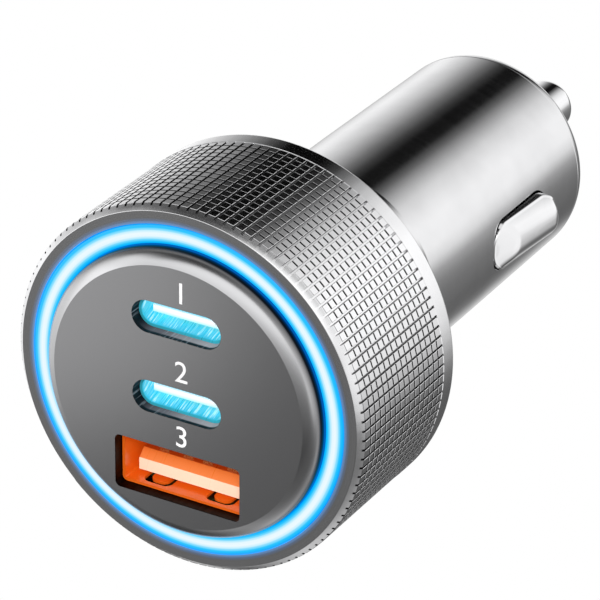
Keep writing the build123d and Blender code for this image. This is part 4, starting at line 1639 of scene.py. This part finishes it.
@dataclass
class SideContact:
    """A pressed chrome contact that stands out through a slot of the barrel, in millimetres.

    Attributes:
        side: The side of the barrel.
        barrel: The barrel, whose slot it fills.
        gap: Gap to the slot on each side.
        shoulder: Distance of the edge from the axis, at the front and at the rear.
        crest: Distance of the crowned top from the axis, at the front and at the rear.
        crown_power: How full the section of the crowned top is, 2 for a parabola.
        nose: Length over which the top rises from the front.
        tail: Length over which it falls to the rear.
        edge: Radius of the edge round the top.
        sheet: Thickness of the sheet.
        rings: Steps from the middle to the edge.
        edge_steps: Steps over the edge.
        corner_steps: Steps in each corner.
        sharp: Angle in degrees from which an edge stays crisp.
    """

    side: Side
    barrel: Barrel
    gap: float = 0.2
    shoulder: Point2 = (10.4, 10.8)
    crest: Point2 = (11.5, 12.6)
    crown_power: float = 2.3
    nose: float = 2.8
    tail: float = 1.4
    edge: float = 0.25
    sheet: float = 0.5
    rings: int = 24
    edge_steps: int = 4
    corner_steps: int = 16
    sharp: float = 50.0

    def build(self, book: FinishBook) -> bpy.types.Object:
        """Build the contact and dress it.

        Args:
            book: The finishes.

        Returns:
            The piece.
        """
        name = f"{self.side.name.lower()}_contact"
        draft = MeshDraft()
        rings = []
        for ring in self._rings(name):
            rings.append(draft.ring([(self.side.value * out, self.barrel.slot_centre + along, across)
                                     for out, along, across in ring]))
        for first, second in zip(rings, rings[1:]):
            draft.bridge(first, second)
        piece = draft.piece(f"pressed_{name}", [book["contact_chrome"]], sharp=self.sharp)
        press = piece.modifiers.new("sheet", "SOLIDIFY")
        press.thickness, press.offset = self.sheet * MM, -1
        apply_modifiers(piece)
        return place_piece(piece, name, "contact_chrome", name)

    def _rings(self, node: str) -> list[list[Point3]]:
        """Rings of the pressing, from the middle of its top over its edge to the flange inside the barrel.

        Args:
            node: The contact's solid, which gives the flange's size and place.

        Returns:
            Points as distance from the axis, place along the slot and place across it.
        """
        top = self._loop(-self.edge)
        rings = [[(self._height(0, 0), 0.0, 0.0)]]
        for step in range(1, self.rings + 1):
            share = math.sin(math.pi / 2 * step / self.rings)
            rings.append([(self._height(share * s, share * t), share * s, share * t) for s, t in top])
        for step in range(1, self.edge_steps + 1):
            turn = math.pi / 2 * step / self.edge_steps
            drop = self.edge * (1 - math.cos(turn))
            loop = self._loop(self.edge * (math.sin(turn) - 1))
            rings.append([(self._height(*inner) - drop, *outer) for inner, outer in zip(top, loop)])
        rim = min(abs(low(node).x), abs(high(node).x)) + self.sheet
        size = high(node) - low(node)
        flange = rounded_loop(size.y, size.z, self.barrel.slot_corner - self.gap, (0, 0), self.corner_steps)
        return [*rings, *([(rim, *point) for point in loop] for loop in (self._loop(0), flange))]

    def _loop(self, grow: float) -> list[Point2]:
        """Outline of the pressing.

        Args:
            grow: How much wider it is on each side.

        Returns:
            Points as place along the slot and place across it.
        """
        length, width = self._size()
        corner = self.barrel.slot_corner - self.gap + grow
        return rounded_loop(length + 2 * grow, width + 2 * grow, corner, (0, 0), self.corner_steps)

    def _size(self) -> Point2:
        """Length and width of the pressing."""
        return self.barrel.slot_length - 2 * self.gap, self.barrel.slot_width - 2 * self.gap

    def _height(self, along: float, across: float) -> float:
        """Distance of the pressing from the axis.

        Args:
            along: Place from the middle along the slot.
            across: Place from the middle across it.

        Returns:
            The distance.
        """
        length, width = self._size()
        place = along / length + 0.5
        shoulder, crest = (line[0] + (line[1] - line[0]) * place for line in (self.shoulder, self.crest))
        runs = (place * length / self.nose, (1 - place) * length / self.tail)
        before, behind = (max(0.0, 1 - run) for run in runs)
        crown = 1 - abs(2 * across / width) ** self.crown_power
        return shoulder + (crest - shoulder) * crown * (1 - before**2) * (1 - behind**2)


@dataclass
class TipGroup:
    """The insulating nose and the sprung centre contact, in millimetres.

    Attributes:
        tip_radius: Radius of the tip.
        tip_edge: Radius of the tip's front edge.
        collar_radius: Radius of the tip's collar.
        collar: Thickness of the tip's collar.
        shank_ring: Collar to a ring of points on the shank, which keeps its gloss even.
        segments: Steps round the pieces.
    """

    tip_radius: float = 2.65
    tip_edge: float = 1.2
    collar_radius: float = 3.7
    collar: float = 1.5
    shank_ring: float = 2.0
    segments: int = 128

    def build(self, book: FinishBook) -> list[bpy.types.Object]:
        """Build the tip and dress the nose.

        Args:
            book: The finishes.

        Returns:
            The tip and the nose.
        """
        back, end = low("tip").y, high("tip").y
        shank = back + self.collar
        edge = (self.tip_radius - self.tip_edge, end - self.tip_edge)
        outline = [(0, back), (self.collar_radius, back), (self.collar_radius, shank),
                   (self.tip_radius, shank), (self.tip_radius, shank + self.shank_ring),
                   *arc(edge, self.tip_edge, 0, 90, 10), (0, end)]
        draft = MeshDraft()
        draft.lathe(outline, self.segments, closed=False)
        tip = place_piece(draft.piece("centre_tip", [book["contact_chrome"]]), "tip", "contact_chrome", "tip")
        return [tip, dress_node("nose", book["nose_plastic"])]


@dataclass
class Springs:
    """The springs behind the moving contacts.

    Attributes:
        joints: Joint of each spring, by the spring's solid.
    """

    joints: dict[str, str] = field(default_factory=lambda: {
        "tip_spring": "tip_slide", "right_leaf": "right_contact_slide", "left_leaf": "left_contact_slide",
    })

    def build(self, book: FinishBook) -> list[bpy.types.Object]:
        """Build each spring with its finish from the book; return the pieces."""
        return [self._spring(node, joint, book["spring_steel"]) for node, joint in self.joints.items()]

    @staticmethod
    def _spring(node: str, joint: str, finish: bpy.types.Material) -> bpy.types.Object:
        """Make a piece of a spring's own shape.

        Args:
            node: The solid that it takes its shape from.
            joint: Not used.
            finish: Its material.

        Returns:
            The piece.
        """
        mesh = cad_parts[node].data.copy()
        mesh.materials.clear()
        mesh.materials.append(finish)
        piece = place_piece(new_object(f"moving_{node}", mesh), BODY, "spring_steel", node)
        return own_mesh(piece)


@dataclass
class InnerPieces:
    """The solids that keep their own shape, with the finish of each.

    Attributes:
        finishes: Finish of each node.
    """

    finishes: dict[str, str] = field(default_factory=lambda: {
        "core_frame": "frame_plastic", "light_board": "circuit_board", "light_chips": "lamp",
        "port_board": "circuit_board", "upper_slim_shell": "port_steel", "upper_slim_insert": "cyan_plastic",
        "upper_slim_pads": "contact_gold", "lower_slim_shell": "port_steel",
        "lower_slim_insert": "cyan_plastic",
        "lower_slim_pads": "contact_gold", "wide_shell": "orange_shell", "wide_insert": "orange_plastic",
        "wide_contacts": "contact_gold", "insulating_sleeve": "frame_plastic", "tip_terminal": "contact_gold",
        "main_board": "circuit_board", "board_pins": "contact_gold", "inductor_core": "ferrite",
        "inductor_winding": "winding", "input_capacitor": "can", "output_capacitor": "can",
        "control_chips": "chip",
    })

    def build(self, book: FinishBook) -> list[bpy.types.Object]:
        """Dress each solid with its finish from the book; return the solids."""
        return [dress_node(node, book[finish]) for node, finish in self.finishes.items()]


def grey_stops(tones: Sequence[Point2]) -> list[Stop]:
    """Turn places with their light into the stops of a ramp.

    Args:
        tones: Places in rising order, each with its light.

    Returns:
        Greys from 0 at the first place to 1 at the last.
    """
    first, last = tones[0][0], tones[-1][0]
    return [((place - first) / (last - first), (light, light, light)) for place, light in tones]


@dataclass(frozen=True)
class LightZone:
    """A stretch of the soft light round the plug's axis.

    Attributes:
        start: Share of +Y in a direction where the zone begins to take over from the one before.
        end: Share of +Y where it has taken over.
        tones: Light by the turn about the axis, in degrees from +Z towards +X.
    """

    start: float
    end: float
    tones: tuple[Point2, ...]


@dataclass(frozen=True)
class SoftLight:
    """A square soft light.

    Attributes:
        name: Its name.
        place: Where it stands, in millimetres.
        size: Its side, in millimetres.
        power: Its power in watts.
        glossy: Whether it shows in reflections.
    """

    name: str
    place: Point3
    size: float
    power: float
    glossy: bool = True

    def build(self, aim: Point3) -> bpy.types.Object:
        """Add the light.

        Args:
            aim: Where it points, in millimetres.

        Returns:
            The light.
        """
        data = bpy.data.lights.new(self.name, "AREA")
        data.shape, data.size, data.energy = "SQUARE", self.size * MM, self.power
        light = new_object(self.name, data)
        light.location = Vector(self.place) * MM
        light.rotation_euler = (Vector(aim) - Vector(self.place)).to_track_quat("-Z", "Y").to_euler()
        light.visible_camera, light.visible_glossy = False, self.glossy
        return light


@dataclass
class Studio:
    """Camera, floor and soft studio light.

    Attributes:
        azimuth: Camera's direction round the plug, in degrees from the front towards +X.
        elevation: Camera's height above the axis, in degrees.
        roll: Turn of the picture, in degrees.
        distance: Camera to the middle of the bezel, in millimetres.
        offset: Middle of the bezel from the picture's centre, right and up, in millimetres.
        lens: Focal length on the sensor below, in millimetres.
        sensor: Width of the sensor, in millimetres.
        clip: Nearest and farthest distance that the camera sees, in metres.
        floor_drop: Floor below the axis, in millimetres.
        floor_size: Side of the floor, in metres.
        face_light: Light for the plate alone.
        port_light: Light that falls into the ports.
        light_aim: Where both lights point, in millimetres.
        card_place: Place along the axis of the card that the head mirrors, in millimetres.
        card_reach: Inner and outer radius of that card, in millimetres.
        card_segments: Steps round it.
        card_turn: Turn about the axis that its tones are measured from, in degrees.
        card_spread: Stretch of the tones at the axis, and how much of it each millimetre outwards takes off.
        card_tones: Light of the card by the stretched turn, in degrees.
        zones: Light round the axis, from the front to the rear.
        pole_start: Share of +Y in a direction where the light from the front begins and where it is full.
        pole: Light from the front by the upward share of its direction.
    """

    azimuth: float = 29.93
    elevation: float = 27.73
    roll: float = 0.59
    distance: float = 346.67
    offset: Point2 = (-9.883, -7.947)
    lens: float = 240.0
    sensor: float = 36.0
    clip: Point2 = (0.01, 20.0)
    floor_drop: float = 60.0
    floor_size: float = 6.0
    face_light: SoftLight = SoftLight("face_light", (-90, -100, -20), 90, 0.0108)
    port_light: SoftLight = SoftLight("port_light", (150, -300, 200), 120, 0.8, glossy=False)
    light_aim: Point3 = (0, -27, 0)
    card_place: float = 2.0
    card_reach: Point2 = (20.0, 70.0)
    card_segments: int = 96
    card_turn: float = 43.5
    card_spread: Point2 = (1.38, 0.0115)
    card_tones: tuple[Point2, ...] = (
        (-180, 0.5), (-150, 1.0), (-135, 1.2), (-116, 1.08), (-98, 0.67), (-82, 0.32), (-68, 0.07),
        (-60, 0.0), (-41, 0.0), (-35, 0.04), (-28, 0.22), (-20, 0.55), (-12, 0.8), (-5, 0.97), (9, 1.12),
        (24, 1.1), (39, 0.95), (47, 0.8), (55, 0.57), (62, 0.36), (70, 0.19), (78, 0.12), (87, 0.1),
        (104, 0.1), (122, 0.1), (140, 0.12), (160, 0.2), (180, 0.5),
    )
    zones: tuple[LightZone, ...] = (
        LightZone(-1.0, -1.0, (
            (-180, 0.18), (-150, 0.16), (-130, 0.18), (-118, 0.6), (-105, 1.1), (-80, 1.4), (-63, 1.4),
            (-50, 0.25), (-38, 0.06), (-14, 0.06), (0, 0.17), (18, 0.36), (35, 0.53), (53, 0.76),
            (73, 0.96), (95, 0.98), (108, 0.8), (122, 0.2), (142, 0.12), (163, 0.14), (180, 0.18),
        )),
        LightZone(-0.5, -0.32, (
            (-180, 0.4), (-150, 0.6), (-110, 1.0), (-99, 1.2), (-80, 1.3), (-72, 0.6), (-62, 0.15),
            (-38, 0.06), (-14, 0.06), (0, 0.17), (18, 0.36), (35, 0.53), (53, 0.76), (73, 0.96), (95, 0.98),
            (106, 0.87), (122, 0.4), (135, 0.18), (147, 0.25), (163, 0.25), (180, 0.4),
        )),
        LightZone(-0.3, -0.1, (
            (-180, 0.6), (-172, 0.4), (-163, 0.1), (-153, 0.03), (-141, 0.15), (-130, 0.28), (-118, 0.9),
            (-99, 1.15), (-80, 0.48), (-57, 0.3), (-42, 0.5), (-14, 0.8), (3, 0.8), (18, 0.8), (33, 0.9),
            (60, 1.0), (120, 0.95), (138, 0.85), (150, 0.5), (165, 0.55), (180, 0.65),
        )),
        LightZone(0.3, 0.45, (
            (-180, 0.06), (-165, 0.1), (-155, 1.0), (-126, 1.25), (-99, 0.9), (-80, 0.6), (-57, 0.3),
            (-42, 0.08), (-14, 0.02), (3, 0.05), (18, 0.5), (33, 0.9), (60, 1.0), (120, 1.0), (138, 0.9),
            (152, 0.4), (166, 0.1), (180, 0.06),
        )),
        LightZone(0.66, 0.74, (
            (-180, 0.2), (-167, 0.43), (-155, 0.66), (-143, 0.66), (-131, 0.55), (-119, 0.65), (-107, 0.9),
            (-95, 1.05), (-85, 1.0), (-75, 0.85), (-63, 0.67), (-51, 0.42), (-39, 0.19), (-27, 0.05),
            (-17, 0.006), (-2, 0.008), (8, 0.14), (20, 0.46), (33, 0.81), (48, 1.0), (60, 1.1), (84, 1.08),
            (96, 0.88), (108, 0.42), (120, 0.25), (132, 0.19), (156, 0.14), (168, 0.14), (180, 0.2),
        )),
    )
    pole_start: Point2 = (-0.66, -0.74)
    pole: tuple[Point2, ...] = (
        (-0.55, 0.07), (-0.47, 0.12), (-0.42, 0.16), (-0.28, 0.22), (-0.1, 0.4), (0.08, 0.7), (0.25, 1.2),
        (0.4, 1.45), (0.6, 1.5),
    )

    def build(self, plate: bpy.types.Object) -> None:
        """Set up the whole studio.

        Args:
            plate: The plate, which has a light of its own.
        """
        self._camera()
        self._floor()
        self._world()
        self._head_card()
        self._lights(plate)
        self._show_plain()

    def _camera(self) -> None:
        """Place the camera at the photograph's angle."""
        turn, rise, roll = (math.radians(value) for value in (self.azimuth, self.elevation, self.roll))
        back = Vector((math.sin(turn) * math.cos(rise), -math.cos(turn) * math.cos(rise), math.sin(rise)))
        level = Vector((math.cos(turn), math.sin(turn), 0))
        upright = level.cross(-back)
        right = math.cos(roll) * level + math.sin(roll) * upright
        up = -math.sin(roll) * level + math.cos(roll) * upright
        bezel = Vector((0, low("head_sleeve").y, 0))
        centre = bezel + self.distance * back - self.offset[0] * right - self.offset[1] * up
        data = bpy.data.cameras.new("camera")
        data.lens, data.sensor_width, data.sensor_fit = self.lens, self.sensor, "HORIZONTAL"
        data.clip_start, data.clip_end = self.clip
        camera = new_object("camera", data)
        facing = Matrix((right, up, back)).transposed().to_4x4()
        camera.matrix_world = Matrix.Translation(centre * MM) @ facing
        bpy.context.scene.camera = camera

    def _floor(self) -> None:
        """Lay a pale floor that only the camera sees, so that the chrome shows the studio light alone."""
        half = self.floor_size / 2
        mesh = bpy.data.meshes.new("floor")
        corners = [(-half, -half), (half, -half), (half, half), (-half, half)]
        mesh.from_pydata([(x, y, -self.floor_drop * MM) for x, y in corners], [], [(0, 1, 2, 3)])
        material, sheet, shader = self._glowing("floor_white")
        sheet.feed(shader, {"Emission Color": WHITE})
        mesh.materials.append(material)
        self._stand(new_object("floor", mesh), "glossy", "diffuse", "shadow", "transmission")

    @staticmethod
    def _glowing(name: str) -> tuple[bpy.types.Material, ShaderSheet, bpy.types.Node]:
        """Start a material that shows only its own light.

        Args:
            name: The material's name.

        Returns:
            The material, its sheet and its shader.
        """
        material, sheet, shader = new_material(name)
        sheet.feed(shader, {"Base Color": BLACK, "Specular IOR Level": 0, "Emission Strength": 1.0})
        return material, sheet, shader

    @staticmethod
    def _stand(piece: bpy.types.Object, *unseen_by: str) -> None:
        """Hide a piece of the studio from the kinds of ray given.

        Args:
            piece: The piece.
            *unseen_by: Kinds of ray that pass it by.
        """
        for ray in unseen_by:
            setattr(piece, f"visible_{ray}", False)

    def _world(self) -> None:
        """Light the plug with soft panels round its axis, and show the camera plain white."""
        world = bpy.data.worlds.new("studio")
        bpy.context.scene.world = world
        world.use_nodes = True
        sheet = ShaderSheet(world.node_tree)
        direction = sheet.node("ShaderNodeTexCoord").outputs["Generated"]
        _, along, up = sheet.split(direction)
        turn = sheet.span(sheet.turn(direction), -math.pi, math.pi)
        foremost, *others = self.zones
        colour = sheet.ramp(turn, grey_stops(foremost.tones), smooth=False)
        for zone in others:
            panel = sheet.ramp(turn, grey_stops(zone.tones), smooth=False)
            colour = sheet.mix(sheet.span(along, zone.start, zone.end), colour, panel)
        height = sheet.span(up, self.pole[0][0], self.pole[-1][0])
        pole = sheet.ramp(height, grey_stops(self.pole), smooth=False)
        colour = sheet.mix(sheet.span(along, *self.pole_start), colour, pole)
        seen = sheet.node("ShaderNodeLightPath").outputs["Is Camera Ray"]
        sheet.feed(world.node_tree.nodes["Background"], {"Color": sheet.mix(seen, colour, WHITE)})

    def _head_card(self) -> None:
        """Stand a soft card round the barrel, which the knurled head mirrors."""
        material, sheet, shader = self._glowing("card_tones")
        turn = sheet.math("SUBTRACT", sheet.turn(sheet.object_place()), math.radians(self.card_turn))
        turn = sheet.math("WRAP", turn, math.pi, -math.pi)
        radius, _ = sheet.place()
        at_axis, fall = self.card_spread
        spread = sheet.math("SUBTRACT", at_axis, sheet.math("MULTIPLY", radius, fall / MM))
        place = sheet.span(sheet.math("MULTIPLY", turn, spread), -math.pi, math.pi)
        sheet.feed(shader, {"Emission Color": sheet.ramp(place, grey_stops(self.card_tones), smooth=False)})
        draft = MeshDraft()
        draft.lathe([(reach, self.card_place) for reach in self.card_reach], self.card_segments, closed=False)
        self._stand(draft.piece("head_card", [material]), "camera", "diffuse", "shadow", "transmission")

    def _lights(self, plate: bpy.types.Object) -> None:
        """Add the soft lights near the face.

        Args:
            plate: The plate, which one of them lights alone.
        """
        lit_by_it = bpy.data.collections.new("lit_by_face_light")
        lit_by_it.objects.link(plate)
        self.face_light.build(self.light_aim).light_linking.receiver_collection = lit_by_it
        self.port_light.build(self.light_aim)

    @staticmethod
    def _show_plain() -> None:
        """Show colours as they are."""
        settings = bpy.context.scene.view_settings
        settings.view_transform, settings.look = "Standard", "None"


def main() -> None:
    """Build and dress the plug, set up the studio and report each piece."""
    logging.basicConfig(level=logging.INFO, format="%(name)s: %(message)s")
    book = FinishBook()
    book.make()
    barrel = Barrel()
    plate, *marks = FacePlate().build(book)
    pieces = [KnurledHead().build(book), LightRing().build(book), plate, *marks, barrel.build(book)]
    pieces += [SideContact(side, barrel).build(book) for side in Side]
    pieces += TipGroup().build(book)
    pieces += Springs().build(book)
    pieces += InnerPieces().build(book)
    for piece in pieces:
        LOG.info("%s has %d faces", piece.name, len(piece.data.polygons))
    Studio().build(plate)


if __name__ == "__main__":
    main()
